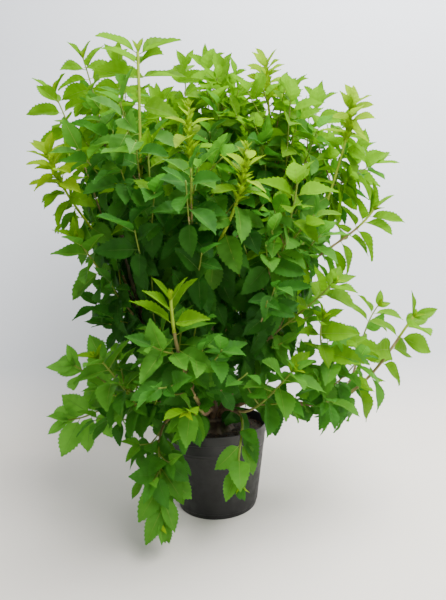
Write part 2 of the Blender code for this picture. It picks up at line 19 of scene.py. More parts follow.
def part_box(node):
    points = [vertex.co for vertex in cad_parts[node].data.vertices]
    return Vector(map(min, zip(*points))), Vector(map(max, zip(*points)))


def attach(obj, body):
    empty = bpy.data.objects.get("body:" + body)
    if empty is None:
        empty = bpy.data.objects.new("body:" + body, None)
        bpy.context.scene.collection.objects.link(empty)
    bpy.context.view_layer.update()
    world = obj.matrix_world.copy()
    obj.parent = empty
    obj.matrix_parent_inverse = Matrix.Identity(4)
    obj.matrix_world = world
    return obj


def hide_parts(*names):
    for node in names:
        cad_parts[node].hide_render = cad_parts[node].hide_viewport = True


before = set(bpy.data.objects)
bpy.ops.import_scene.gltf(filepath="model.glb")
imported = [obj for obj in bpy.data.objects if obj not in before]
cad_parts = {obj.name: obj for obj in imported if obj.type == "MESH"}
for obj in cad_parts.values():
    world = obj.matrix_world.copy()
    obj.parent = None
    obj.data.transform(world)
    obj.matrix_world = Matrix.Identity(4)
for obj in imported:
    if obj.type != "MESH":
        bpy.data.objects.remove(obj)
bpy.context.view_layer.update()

UP = Vector((0, 0, 1))
DOWN = Vector((0, 0, -1))
FRONT = Vector((0.25, -0.95, 0.2)).normalized()
MM = 0.001
SEED = 3

# Camera at the height of the crown's middle, tipped a little down and a little to one side
CAMERA_PLACE = (0.0273, -0.9597, 0.4781)
CAMERA_DOWN = math.radians(1.874)
CAMERA_ROLL = math.radians(-2.028)
CAMERA_LENS = 26.08

# Studio: backdrop, lights as place, target, size and power, and the even surround
FLOOR_SIZE = 3.2
FLOOR_FRONT = 2.2
WALL_DISTANCE = 0.56
WALL_CURVE = 0.22
WALL_HEIGHT = 2.4
CURVE_STEPS = 12
FLOOR_COLOUR = (0.880, 0.825, 0.750)
WALL_COLOUR = (0.755, 0.780, 0.830)
LIGHTS = {
    "overhead": ((0.80, -0.50, 2.3), (0.0, 0.0, 0.4), 1.6, 118),
    "front": ((0.75, -1.55, 1.75), (0.0, 0.0, 0.45), 0.9, 42),
}
SURROUND_COLOUR = (0.93, 0.96, 1.0)
SURROUND_STRENGTH = 0.50

# Pot, compost and stool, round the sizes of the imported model. Relief, dip and chips are in millimetres
POT_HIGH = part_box("pot")[1]
POT_HEIGHT = POT_HIGH[2]
RIM_RADIUS = POT_HIGH[0]
FOOT_RADIUS = RIM_RADIUS * 0.766
BAND_HEIGHT = 20 * MM
BAND_BASE = POT_HEIGHT - BAND_HEIGHT
BAND_STEP = 2.2 * MM
POT_WALL = 1.8 * MM
POT_FLOOR = 3 * MM
FOOT_STEP = 1.6 * MM
FOOT_STEP_HEIGHT = 9 * MM
FOOT_EDGE = 1.2 * MM
LIP_RADIUS = 1.1 * MM
RING_DROPS = (26 * MM, 20 * MM)
RING_SECTION = ((-1.2 * MM, 0.0), (-0.6 * MM, 0.4 * MM), (0.6 * MM, 0.4 * MM), (1.2 * MM, 0.0))
POT_SIDES = 128
DRAIN_HOLES = 4
DRAIN_RADIUS = 7 * MM
DRAIN_RING = 60 * MM
DRAIN_SIDES = 32
DRAIN_TURN = 1 / 64
WELD = 0.02 * MM
SHARP_ANGLE = math.radians(38)
COMPOST_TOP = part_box("compost")[1][2]
COMPOST_RINGS = 30
COMPOST_GAP = 1.2 * MM
COMPOST_CROWN = 1.5 * MM
COMPOST_COVER = 1.6 * MM
COMPOST_DIP = 2.5
DIP_START = 0.85
COMPOST_GRAIN = 60
COMPOST_RELIEF = ((2.2, 1), (1.1, 3), (0.6, 7))
CHIPS = 420
CHIP_SPREAD = (0.12, 0.93)
CHIP_SIZES = (1.2, 4.2)
CHIP_SPANS = ((0.8, 2.0), (0.5, 0.9), (0.4, 0.8))
CHIP_HEIGHT = 2.2 * MM
CHIP_TURN = 3
CHIP_JITTER = (0.7, 1.2)
STOOL_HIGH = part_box("stool")[1]
STOOL_TOP = STOOL_HIGH[2]
STOOL_RADIUS = STOOL_HIGH[0]
STOOL_ROWS = 34
STOOL_SINK = 4 * MM
STOOL_WAIST = 0.27
STOOL_TAPER = 0.10
WAIST_TOP = 0.80
DOME_START = 0.80
LOBES = 9
LOBE_DEPTH = 0.07
BULGES = 4
BULGE_DEPTH = 0.05
STOOL_GRAIN = 3
STOOL_RELIEF = ((0.07, 1), (0.05, 3), (0.03, 8))
ROUND_SIDES = 96
SEAT_GAP = 0.3 * MM

# Canes
CANE_BARE = 0.30
CANE_NODE = 14 * MM
CANE_FOOT_RADIUS = 4.6 * MM
FORK_RADIUS = 4.2 * MM
SINGLE_RADIUS = 2.8 * MM
FOOT_LEAN_SHARE = 0.55
INNER_RING = 19 * MM
OUTER_RING = 31 * MM
CANE_SIDES = 14
CANE_STEP = 2.5 * MM
BARK_RING = 38 * MM
RING_WIDTH = 0.14
RING_SWELL = 0.18
CANE_FLARE = 12 * MM
FLARE_SWELL = 0.35
GRAIN_ROUND = 2.2
GRAIN_ALONG = 40
CANE_RELIEF = ((0.13, 1), (0.07, 2.7))

# Stems, with how far below the tip the wood of each kind of stem turns tan, then brown
STEM_RADIUS = 2.7 * MM
TWIG_RADIUS = 2.2 * MM
SIDE_RADIUS = 1.5 * MM
TIP_RADIUS = 1.3 * MM
FORK_OFFSET = 2.6 * MM
CURVE_PULL = 0.36
STEM_STEP = 7 * MM
STEM_SIDES = 7
SPLIT_SHARE = 0.30
NODE_SWELL = 0.22
NODE_REACH = 6 * MM
NEW_WOOD = {"leader": (0.13, 0.28), "stout": (0.20, 0.34), "sturdy": (0.05, 0.30), "side": (0.06, 0.30)}
STEM_COLOURS = {
    "stems_brown": ((0.120, 0.080, 0.050), (0.290, 0.210, 0.140)),
    "stems_tan": ((0.150, 0.125, 0.040), (0.300, 0.235, 0.085)),
    "stems_green": ((0.120, 0.185, 0.020), (0.190, 0.260, 0.030)),
    "stems_gold": ((0.200, 0.320, 0.010), (0.300, 0.390, 0.020)),
}

# Leaves: their size, and their places along a shoot
FULL_LEAF = 72 * MM
OLD_LEAF = 70 * MM
FULL_DEPTH = 28 * MM
OLD_DEPTH = 0.26
AGED_DEPTH = 0.03
SIDE_SCALE = 0.86
LEAF_SHAPE = 0.57
LEAF_JITTER = (0.86, 1.08)
WIDTH_JITTER = (0.92, 1.08)
TIP_GROWTH = 8 * MM
FIRST_NODE = 4 * MM
LAST_NODE = 10 * MM
STEP_GROWTH = 1.15
PETIOLE = 0.10
PAIR_OFFSET = 1.5 * MM
TRIES = 8
SHRINK = 0.05
SWING = 0.25
SWING_DOUBLED = 3
RIB_LEAST = 20 * MM
TEST_WIDTH = 0.42
TEST_REACH = 0.55
BLADES_PER_PIECE = 900

# Poses of leaves: a row is the value at the tip, the value below, and the depth where it is reached
HANG = (0.0, 1.0, 0.24)
SIDE_HANG = (0.4, 1.0, 0.06)
SPREAD = (26, 74, 0.05)
BROAD_SPREAD = (52, 74, 0.05)
BEND = (10, 42, 0.2)
FOLD = (26, 13, 0.2)
NARROW = (0.80, 1.0, FULL_DEPTH)
SIDE_AGEING = (0, 1, 0.35)
SPREAD_JITTER = 8
BEND_JITTER = (-8, 16)
FOLD_JITTER = (-6, 7)
ROLL_JITTER = 32
FLATNESS = 0.75
MOST_FLAT = 0.8
AXIS_RADIUS = 20 * MM
PULL_OUT = 0.45
SAG = 62
SAG_OF_HANGING = 30
SAG_JITTER = (-14, 18)
SAG_STIR = 0.25
OFF_UPRIGHT = 0.05
LEAST_AXIS = 0.02
# How much a leaf faces along its shoot, up and outward: when it stands, and when it hangs
FACE_ALONG = (0.3, 0.1)
FACE_UP = (0.6, 0.35)
FACE_OUT = (0.15, 1.1)

# Side shoots: length against the most allowed, angle from the stem, and upward turn
SIDE_LEAVES = 4
SIDE_AGE = 0.40
SIDE_TRIES = 3
SIDE_START = 4 * MM
SIDE_LENGTHS = (0.75, 1.15)
SIDE_SHORTER = 0.2
SIDE_ANGLES = (38, 62)
SIDE_SWING = 0.4
SIDE_RISE = 0.45
SIDE_TIP_SHARE = 0.7
SIDE_LAST = 30 * MM
# How far pairs turn from the front, on shoots that end before this y
TURN_JITTER = 0.4
BACK_START = 0.05

# Space kept by each mass
MASS_REACH = 0.17
POT_MARGIN = 3 * MM
FLOOR_MARGIN = 6 * MM
LIMB_STEP = 30 * MM
LIMB_SIDES = 4

# Canes: azimuth in degrees from +X, reach and height of the fork, lean there in degrees, ring of the foot
CANES = {
    "cane_left": (198, 0.110, 0.31, 25, INNER_RING),
    "cane_left_front": (231, 0.122, 0.29, 25, INNER_RING),
    "cane_front": (261, 0.112, 0.29, 28, INNER_RING),
    "cane_front_right": (297, 0.118, 0.29, 28, INNER_RING),
    "cane_right": (343, 0.118, 0.32, 22, INNER_RING),
    "cane_right_back": (24, 0.108, 0.32, 22, INNER_RING),
    "cane_left_back": (135, 0.112, 0.33, 18, INNER_RING),
    "cane_back": (86, 0.112, 0.30, 28, INNER_RING),
    "cane_middle": (90, 0.020, 0.35, 5, 0.0),
    "cane_arch": (339, 0.222, 0.230, 86, OUTER_RING),
    "cane_left_low": (203, 0.152, 0.250, 65, OUTER_RING),
    "cane_front_low": (264, 0.160, 0.245, 60, OUTER_RING),
    "cane_spill_right": (292, 0.133, 0.232, 85, OUTER_RING),
    "cane_spill_left": (234, 0.139, 0.226, 95, OUTER_RING),
}

# Masses: the cane each grows from, then azimuth, reach and height of each shoot's tip, and its lean there
MASSES = {
    "leaves_left_outer": ("cane_left", [(191, 0.310, 0.890, 22), (202, 0.322, 0.748, 15)]),
    "leaves_left_top": ("cane_left", [(180, 0.260, 0.990, 16), (156, 0.220, 1.010, 12)]),
    "leaves_front_left_top": ("cane_left_front", [(248, 0.259, 0.855, 0), (253, 0.282, 0.690, 10)]),
    "leaves_left_middle": ("cane_left_front", [(226, 0.305, 0.560, 35)]),
    "leaves_front_top": ("cane_front", [(267, 0.290, 0.740, 5), (282, 0.327, 0.650, 8)]),
    "leaves_front_right_top": ("cane_front_right", [(300, 0.305, 0.640, 15)]),
    "leaves_right_middle": ("cane_front_right", [(318, 0.310, 0.490, 45)]),
    "leaves_top_right": ("cane_right", [(343, 0.140, 0.900, 0), (320, 0.217, 0.820, 8)]),
    "leaves_right_outer": ("cane_right", [(343, 0.310, 0.820, 12), (351, 0.345, 0.618, 35)]),
    "leaves_right_top": ("cane_right_back", [(11, 0.266, 0.890, 12), (8, 0.355, 0.770, 25)]),
    "leaves_back_right": ("cane_right_back", [(44, 0.350, 0.720, 20), (44, 0.347, 0.420, 60)]),
    "leaves_top": ("cane_middle", [(0, 0.044, 0.940, 0), (86, 0.100, 1.010, 5)]),
    "leaves_back_top_right": ("cane_middle", [(59, 0.233, 0.950, 10)]),
    "leaves_back_top_left": ("cane_left_back", [(121, 0.233, 0.970, 8), (108, 0.147, 1.020, 0)]),
    "leaves_back_left": ("cane_left_back", [(141, 0.350, 0.740, 20), (134, 0.347, 0.450, 60)]),
    "leaves_back": ("cane_back", [(90, 0.330, 0.710, 15)]),
    "leaves_back_low": ("cane_back", [(90, 0.330, 0.400, 60)]),
    "leaves_right_arch": ("cane_arch", [(346, 0.420, 0.410, 35)]),
    "leaves_right_low": ("cane_arch", [(3, 0.372, 0.415, 40)]),
    "leaves_front_right_low": ("cane_arch", [(315, 0.282, 0.409, 25)]),
    "leaves_left_low": ("cane_left_low", [(203, 0.305, 0.345, 50), (156, 0.245, 0.320, 50)]),
    "leaves_left_foot": ("cane_left_low", [(197, 0.300, 0.218, 85)]),
    "leaves_front_low": ("cane_front_low", [(262, 0.343, 0.475, 5)]),
    "leaves_front_skirt": ("cane_front_low", [(264, 0.310, 0.290, 75)]),
    "leaves_front_right_skirt": ("cane_spill_right", [(300, 0.275, 0.330, 50)]),
    "leaves_spill_right": ("cane_spill_right", [(281, 0.224, 0.145, 150)]),
    "leaves_front_left_skirt": ("cane_spill_left", [(232, 0.295, 0.360, 45)]),
    "leaves_spill_left": ("cane_spill_left", [(248, 0.242, 0.085, 160)]),
}

# Habit of a mass: depth where side shoots start, their length against that depth and their greatest length,
# most leaves, scale of the leaves, how far their colour is lifted, partly their own tone and partly painted
# light (painted shade below nought), how far they face the front, spacing of the pairs, colour in place of the
# one by age and painted light, and how far leaves may reach past the mass's own space
HABIT = dict(side_from=0.10, share=0.62, length=0.16, most=320, scale=1.0, tone_and_painted_light=0.0, front=0.0, step=1.0,
             kind="", overlap=12 * MM)
HABITS = {
    "leaves_left_outer": dict(side_from=0.20, most=160, tone_and_painted_light=0.1, length=0.10, scale=1.1, step=0.9,
                              overlap=26 * MM),
    "leaves_left_top": dict(side_from=0.20, tone_and_painted_light=0.3, length=0.12, scale=1.1, overlap=30 * MM),
    "leaves_front_left_top": dict(side_from=0.18, tone_and_painted_light=0.2, scale=1.08, overlap=26 * MM),
    "leaves_top": dict(side_from=0.06, share=0.8, tone_and_painted_light=0.7, scale=1.05),
    "leaves_top_right": dict(side_from=0.08, tone_and_painted_light=1.2, scale=1.05),
    "leaves_back_top_right": dict(side_from=0.07, share=0.8, tone_and_painted_light=0.5, scale=1.08),
    "leaves_back_top_left": dict(side_from=0.08, share=0.8, tone_and_painted_light=0.2, scale=1.05),
    "leaves_right_outer": dict(side_from=0.15, most=170, tone_and_painted_light=0.7, length=0.11, scale=1.08, step=0.9),
    "leaves_right_top": dict(side_from=0.14, most=180, tone_and_painted_light=0.5, length=0.12, scale=1.08, step=0.9),
    "leaves_right_middle": dict(tone_and_painted_light=1.5, most=200),
    "leaves_back_right": dict(most=220, length=0.12),
    "leaves_back_left": dict(length=0.10, tone_and_painted_light=0.4),
    "leaves_left_middle": dict(length=0.07, side_from=0.12, tone_and_painted_light=-0.3),
    "leaves_front_right_top": dict(tone_and_painted_light=0.5),
    "leaves_right_arch": dict(side_from=1.0, scale=1.08, tone_and_painted_light=2.1, front=1.3, step=1.4),
    "leaves_right_low": dict(side_from=1.0, scale=0.95, tone_and_painted_light=1.2, front=1.3, step=1.4),
    "leaves_front_right_low": dict(most=90, tone_and_painted_light=1.6, front=0.4),
    # The low left shoots take the soft green, painted light against the shade the crown casts on them
    "leaves_left_low": dict(side_from=1.0, scale=1.2, front=1.3, step=1.8, kind="leaves_soft"),
    "leaves_left_foot": dict(side_from=1.0, scale=1.15, front=1.3, step=1.6, kind="leaves_soft"),
    "leaves_front_low": dict(side_from=0.09, most=170, tone_and_painted_light=0.5, scale=0.95),
    "leaves_front_skirt": dict(side_from=0.07, most=120, tone_and_painted_light=1.0, scale=0.88),
    "leaves_front_left_skirt": dict(side_from=0.07, most=190, tone_and_painted_light=1.1),
    "leaves_front_right_skirt": dict(most=70, tone_and_painted_light=0.7),
    "leaves_spill_left": dict(side_from=0.08, most=80, scale=0.98, tone_and_painted_light=1.6, front=0.3, step=1.3,
                              length=0.055),
    "leaves_spill_right": dict(side_from=1.0, scale=0.85, tone_and_painted_light=1.1, front=0.3, step=1.4),
}

# How a shoot ends: length of its first leaves, depth where they reach full length, first and last spacing of
# its pairs, and how far below the tip no leaf hides its stem from the front
TRAITS = {
    "plain": dict(bud=38 * MM, grown=FULL_DEPTH, step=13 * MM, last=25 * MM, clear=0.0),
    "pair": dict(bud=60 * MM, grown=FULL_DEPTH, step=26 * MM, last=28 * MM, clear=0.0),
    "side": dict(bud=38 * MM, grown=FULL_DEPTH, step=19 * MM, last=34 * MM, clear=0.0),
    "vee": dict(bud=46 * MM, grown=40 * MM, step=22 * MM, last=22 * MM, clear=0.0),
    "flat": dict(bud=50 * MM, grown=FULL_DEPTH, step=15 * MM, last=25 * MM, clear=0.09),
    "broad": dict(bud=68 * MM, grown=FULL_DEPTH, step=17 * MM, last=22 * MM, clear=0.20),
    "spike": dict(bud=18 * MM, grown=75 * MM, step=11 * MM, last=25 * MM, clear=0.15),
    "leafy": dict(bud=40 * MM, grown=0.12, step=7 * MM, last=14 * MM, clear=0.14),
}
# Depths down to which the leaves of an ending have the youngest colour, and the lime one
TENDER = {"spike": 45 * MM, "leafy": 69 * MM}
YOUNG = {"spike": 75 * MM, "leafy": 0.115, "pair": 10 * MM, "flat": 22 * MM}
# Endings with a thin stem: the others have a stouter one that stays thick to its tip
SLENDER = ("plain", "vee", "pair")
STOUT = 1.15
STOUT_TIP = 1.8

# Young leaves at a tip: four closed ones, or the many small ones of a spike. Angles are in degrees from the
# stem, and lengths, steps and rises in millimetres
CLOSED_LEAVES = 4
CLOSED_ANGLE = 8
CLOSED_OPENING = 9
CLOSED_LENGTH = 15
CLOSED_GROWTH = 4
CLOSED_STEP = 1.5
CLOSED_SHAPE = dict(width=0.42, bend=0.2, fold=0.7)
SPIKE_LENGTH = 78 * MM
SPIKE_BRACTS = 74
SPIKE_TURN = 2.4
SPIKE_CROWDING = 1.4
SPIKE_ANGLES = (44, 10)
SPIKE_ANGLE_JITTER = 10
BRACT_LENGTHS = (24, 9)
BRACT_JITTER = (0.7, 1.25)
BRACT_RISE = 5
BRACT_SHAPE = dict(width=0.44, bend=0.3, fold=0.5)

# Clear space towards the camera, which no leaf crosses: before stout stems, beside a bare stretch of stem
# between two depths, and over the pot's rim
CLEAR_START = 5 * MM
CLEAR_REACH = 0.12
CLEAR_STEPS = 8
BARE_STEMS = {("leaves_left_top", 0): (0.40, 0.60)}
BARE_THICK = 1.7
BARE_REACH = 0.26
BARE_SIDE = 4 * MM
OPENING_LEFT = -0.010
OPENING_RIGHT = 0.095
OPENING_FRONT = -0.09
OPENING_LOW = 2 * MM
OPENING_RISE = 0.046
OPENING_REACH = 0.28
OPENING_SHEETS = 9

# Shoots with an ending of their own, as mass and number of the shoot, and how far they grow on from the limb
ENDINGS = {
    ("leaves_front_left_top", 0): ("broad", 8 * MM),
    ("leaves_front_low", 0): ("flat", -14 * MM),
    ("leaves_front_skirt", 0): ("pair", 4 * MM),
    ("leaves_right_arch", 0): ("flat", -8 * MM),
    ("leaves_left_top", 0): ("vee", -8 * MM),
    ("leaves_left_outer", 0): ("vee", -6 * MM),
    ("leaves_back_top_right", 0): ("plain", -28 * MM),
    ("leaves_left_outer", 1): ("leafy", -4 * MM),
    ("leaves_left_low", 0): ("plain", -18 * MM),
    ("leaves_right_middle", 0): ("plain", -16 * MM),
    ("leaves_front_top", 0): ("spike", 10 * MM),
    ("leaves_front_top", 1): ("spike", 24 * MM),
    ("leaves_right_outer", 0): ("leafy", 8 * MM),
    ("leaves_right_outer", 1): ("flat", 8 * MM),
    ("leaves_top_right", 0): ("leafy", 34 * MM),
}

# Leaf colours from the youngest to the oldest, dealt out also as painted light and shade, then the soft green
# of the low left shoots, made lighter as painted light against the shade the crown casts on them
LEAF_COLOURS = {
    "leaves_tip": (0.210, 0.345, 0.003),
    "leaves_lime": (0.108, 0.258, 0.004),
    "leaves_fresh": (0.068, 0.215, 0.022),
    "leaves_green": (0.037, 0.148, 0.018),
    "leaves_deep": (0.021, 0.098, 0.012),
    # Soft green made lighter as painted light, against the shade the crown casts on the low left shoots
    "leaves_soft": (0.100, 0.290, 0.034),
}
KINDS_BY_AGE_AND_PAINTED_SHADE = list(LEAF_COLOURS)[1:5]
YOUNG_AND_PAINTED_LIT_KINDS = ("leaves_tip", "leaves_lime", "leaves_fresh")
# Steps of a leaf's colour: its age by depth, painted shade by how far it lies under the crown's top,
# and, less, painted light by its reach
AGE_DEPTH = 0.14
PAINTED_LIGHT_HEIGHT = 0.85
PAINTED_SHADE = 4.6
PAINTED_OUTER_LIGHT = 2.0
COLOUR_JITTER = 0.3

# Spread of a leaf's colour, and the light that passes through it: gain of each colour, and share
LEAF_MOTTLE = 0.22
THROUGH_GAIN = (1.8, 1.9, 1)
THROUGH_SHARE = 0.44

# Leaf blade: rows follow the side veins from the midrib forward to the toothed edge
TEETH = 10
ROWS = 2 * TEETH
ROWS_PER_VEIN = 4
ACROSS = (-1.0, -0.5, 0.0, 0.5, 1.0)
BASE_ROUND = 0.66
TIP_DRAWN = 1.15
WIDEST = 0.3050
VEIN_SLANT = 0.11
TOOTH_DEPTH = 0.075
TOOTH_NOTCH = 0.6
TOOTH_HOOK = 0.027
QUILT = 0.016
WAVE = 0.022
WAVE_TURNS = 9
WAVE_SHIFT = 1.3
LEAST_BEND = 0.02
RIB_SHARE = 0.010
RIB_SINK = 0.5
RIB_MARKS = (0.0, 0.2, 0.4, 0.6, 0.8)
RIB_TAPER = (1.1, 1, 0.75, 0.6, 0.45, 0.25)


def habit(mass, trait):
    """One trait of a mass's habit."""
    return HABITS.get(mass, {}).get(trait, HABIT[trait])


def ending_of(mass, number):
    """How a shoot of a mass ends, and how far it grows on from the limb."""
    return ENDINGS.get((mass, number), ("plain", TIP_GROWTH))


def place(azimuth, reach, height):
    """Point at an azimuth in degrees, a reach from the axis and a height."""
    turn = math.radians(azimuth)
    return Vector((reach * math.cos(turn), reach * math.sin(turn), height))


def leaning(azimuth, lean):
    """Direction that leans so many degrees from upright, towards an azimuth."""
    tilt = math.radians(lean)
    return place(azimuth, math.sin(tilt), math.cos(tilt))


def blend(low, high, share):
    """Value between two others, held between them."""
    return low + (high - low) * min(1.0, max(0.0, share))


def at_depth(row, depth):
    """Value at a depth, from a row of the value at the tip, the value below and the depth that reaches it."""
    first, last, full = row
    return blend(first, last, depth / full)


def round_way(angle):
    """Direction at an angle in the flat."""
    return Vector((math.cos(angle), math.sin(angle), 0))


def side_way(heading, angle):
    """Direction square to a stem, turned about it by an angle."""
    return UP.rotation_difference(heading) @ round_way(angle)


def square_to(way, facing):
    """The part of a direction that is square to a leaf's way."""
    return (facing - way * facing.dot(way)).normalized()


def towards_camera(spot):
    """Direction from a point to the camera."""
    return (Vector(CAMERA_PLACE) - spot).normalized()


def add_shape(points, faces, shape_points, shape_faces):
    """Add a shape to lists of points and faces."""
    first = len(points)
    points += shape_points
    faces += [tuple(first + i for i in face) for face in shape_faces]


class Curve:
    """Smooth curve from one point and heading to another, read by distance along it."""

    def __init__(self, start, heading, end, ending, step):
        span = (end - start).length
        near = start + heading * span * CURVE_PULL
        far = end - ending * span * CURVE_PULL
        count = max(3, round(span / step))
        self.points = []
        for number in range(count + 1):
            t = number / count
            s = 1 - t
            self.points.append(start * s ** 3 + near * 3 * s * s * t + far * 3 * s * t * t + end * t ** 3)
        self.marks = [0.0]
        for a, b in zip(self.points, self.points[1:]):
            self.marks.append(self.marks[-1] + (b - a).length)
        self.length = self.marks[-1]

    def at(self, distance):
        """Point and direction at a distance along the curve."""
        distance = min(max(distance, 0.0), self.length)
        number = int(np.searchsorted(self.marks, distance, side="right"))
        number = min(max(number, 1), len(self.marks) - 1)
        a, b = self.points[number - 1], self.points[number]
        share = (distance - self.marks[number - 1]) / (self.marks[number] - self.marks[number - 1])
        return a.lerp(b, share), (b - a).normalized()


def cane_curve(name):
    """Curve of a cane from its foot on the stool to its fork, with the heading there."""
    azimuth, reach, height, lean, ring = CANES[name]
    start = place(azimuth, ring, STOOL_TOP + SEAT_GAP)
    end = place(azimuth, reach, height)
    chord = math.degrees(math.atan2(reach - ring, height - start.z))
    ending = leaning(azimuth, lean)
    return Curve(start, leaning(azimuth, chord * FOOT_LEAN_SHARE), end, ending, CANE_STEP), ending


def stems_of(cane):
    """Names of the masses that grow from a cane."""
    return [name for name, (parent, _) in MASSES.items() if parent == cane]


def stem_start(mass):
    """Where a mass's stem starts, its share of the fork's end face, and its heading."""
    cane, _ = MASSES[mass]
    curve, ending = cane_curve(cane)
    fork = curve.points[-1]
    family = stems_of(cane)
    if len(family) == 1:
        return fork, ending
    turn = UP.rotation_difference(ending)
    bearing = {}
    for name in family:
        towards = turn.inverted() @ (place(*MASSES[name][1][0][:3]) - fork)
        bearing[name] = math.atan2(towards.y, towards.x)
    sines = sum(math.sin(b) for b in bearing.values())
    middle = math.atan2(sines, sum(math.cos(b) for b in bearing.values()))
    ranked = sorted(family, key=lambda name: math.remainder(bearing[name] - middle, math.tau))
    angle = middle + math.tau * (ranked.index(mass) - (len(family) - 1) / 2) / len(family)
    return fork + turn @ round_way(angle) * FORK_OFFSET, ending


def leaders_of(mass):
    """Curves of a mass's main stem and of the shoots that split from it."""
    start, heading = stem_start(mass)
    leaders = []
    for number, (azimuth, reach, height, lean) in enumerate(MASSES[mass][1]):
        if leaders:
            start, heading = leaders[0].at(leaders[0].length * SPLIT_SHARE)
        ending = leaning(azimuth, lean)
        growth = ending_of(mass, number)[1]
        tip = place(azimuth, reach, height) + ending * growth
        leaders.append(Curve(start, heading, tip, ending, STEM_STEP))
    return leaders


def node_depths(length, ending="plain", spacing=1.0):
    """Depths of the leaf pairs below a shoot's tip: close together near the tip, wider below."""
    depths = []
    depth = FIRST_NODE
    step = TRAITS[ending]["step"]
    while depth < length - LAST_NODE:
        depths.append(depth)
        depth += step * spacing
        step = min(step * STEP_GROWTH, TRAITS[ending]["last"])
    return depths


@dataclass
class Leaf:
    """One leaf: where its stalk starts, which way it points and faces, and how it is shaped."""

    base: Vector
    way: Vector
    facing: Vector
    length: float
    width: float
    bend: float
    fold: float
    kind: str

    def root(self):
        """Start of the blade, past the stalk."""
        return self.base + self.way * self.length * PETIOLE

    def outline(self):
        """Four points and two faces of the blade, for tests: near its root, at its widest and at its tip."""
        across = self.way.cross(self.facing)
        half = self.length * self.width * TEST_WIDTH
        root = self.root()
        outer = Quaternion(across, -self.bend * 0.7) @ self.way
        middle = root + (Quaternion(across, -self.bend * 0.2) @ self.way) * self.length * TEST_WIDTH
        points = [root + self.way * 4 * MM, middle + across * half, middle - across * half,
                  middle + outer * self.length * TEST_REACH]
        return points, [(0, 1, 2), (1, 3, 2)]


def leaf_size(depth, ending="plain"):
    """Length of a leaf at a depth below the shoot's tip."""
    grown = TRAITS[ending]["grown"]
    full = blend(TRAITS[ending]["bud"], FULL_LEAF, depth / grown)
    return blend(full, OLD_LEAF, (depth - grown) / (OLD_DEPTH - grown))


def leaf_pose(base, heading, angle, depth, age, ending, front, swing, rng):
    """Direction and facing of a leaf: young ones rise beside the tip, older ones spread and hang."""
    hang = max(at_depth(HANG, depth), age * at_depth(SIDE_HANG, depth))
    outward = side_way(heading, angle + rng.uniform(-swing, swing))
    flatness = min(MOST_FLAT, front) if ending in ("plain", "side") else FLATNESS
    outward = (outward - FRONT * outward.dot(FRONT) * flatness).normalized()
    spread = at_depth(BROAD_SPREAD if ending == "broad" else SPREAD, depth)
    spread = math.radians(spread + rng.uniform(-SPREAD_JITTER, SPREAD_JITTER))
    way = heading * math.cos(spread) + outward * math.sin(spread)
    away = Vector((base.x, base.y, 0.0))
    away = away.normalized() if away.length > AXIS_RADIUS else Vector()
    way = (way + away * PULL_OUT * hang).normalized()
    sag = blend(0, SAG, hang) + blend(0, SAG_OF_HANGING, -heading.z)
    sag += rng.uniform(*SAG_JITTER) * (SAG_STIR + hang)
    axis = (way + outward * OFF_UPRIGHT).cross(DOWN)
    if axis.length > LEAST_AXIS:
        way = (Quaternion(axis.normalized(), math.radians(sag)) @ way).normalized()
    facing = heading * blend(*FACE_ALONG, hang) + UP * blend(*FACE_UP, hang) + away * blend(*FACE_OUT, hang)
    facing = square_to(way, facing + FRONT * front)
    facing = Quaternion(way, math.radians(rng.uniform(-ROLL_JITTER, ROLL_JITTER))) @ facing
    return way, facing


def leaf_kind(mass, depth, point, rng):
    """Colour of a leaf: the younger the brighter, with painted shade lower in the crown and painted light
    farther out.
    """
    reach = math.hypot(point.x, point.y)
    # Age by depth, plus painted shade under the crown's top, less painted light by reach and the mass's own
    # painted light
    age = depth / AGE_DEPTH + (PAINTED_LIGHT_HEIGHT - point.z) * PAINTED_SHADE - reach * PAINTED_OUTER_LIGHT
    age += rng.gauss(0, COLOUR_JITTER) - habit(mass, "tone_and_painted_light")
    return habit(mass, "kind") or KINDS_BY_AGE_AND_PAINTED_SHADE[min(3, max(0, int(age)))]


class Spaces:
    """Space of each mass: the points that lie nearer to its own leaders than to any other's."""

    def __init__(self):
        self.own = {}
        for mass in MASSES:
            self.own[mass] = np.array([tuple(p) for curve in leaders_of(mass) for p in curve.points])
        self.rest = {m: np.vstack([a for n, a in self.own.items() if n != m]) for m in MASSES}

    def holds(self, mass, points, overlap):
        """Whether all the points lie in a mass's space, above the floor and off the pot."""
        spots = np.array([tuple(p) for p in points])
        mine = np.linalg.norm(spots[:, None] - self.own[mass][None], axis=2).min(axis=1)
        others = np.linalg.norm(spots[:, None] - self.rest[mass][None], axis=2).min(axis=1)
        if (mine > others + overlap).any() or mine.max() > MASS_REACH:
            return False
        if spots[:, 2].min() < FLOOR_MARGIN:
            return False
        radius = np.hypot(spots[:, 0], spots[:, 1])
        low = spots[:, 2] < POT_HEIGHT + POT_MARGIN
        return not (low & (radius < RIM_RADIUS + POT_MARGIN)).any()


def add_curtain(points, faces, spots, start, reach):
    """Add a sheet of clear space that runs from a line of points towards the camera."""
    sheet = []
    for spot in spots:
        towards = towards_camera(spot)
        sheet += [spot + towards * start, spot + towards * reach]
    add_shape(points, faces, sheet, [(n, n + 1, n + 3, n + 2) for n in range(0, len(sheet) - 2, 2)])


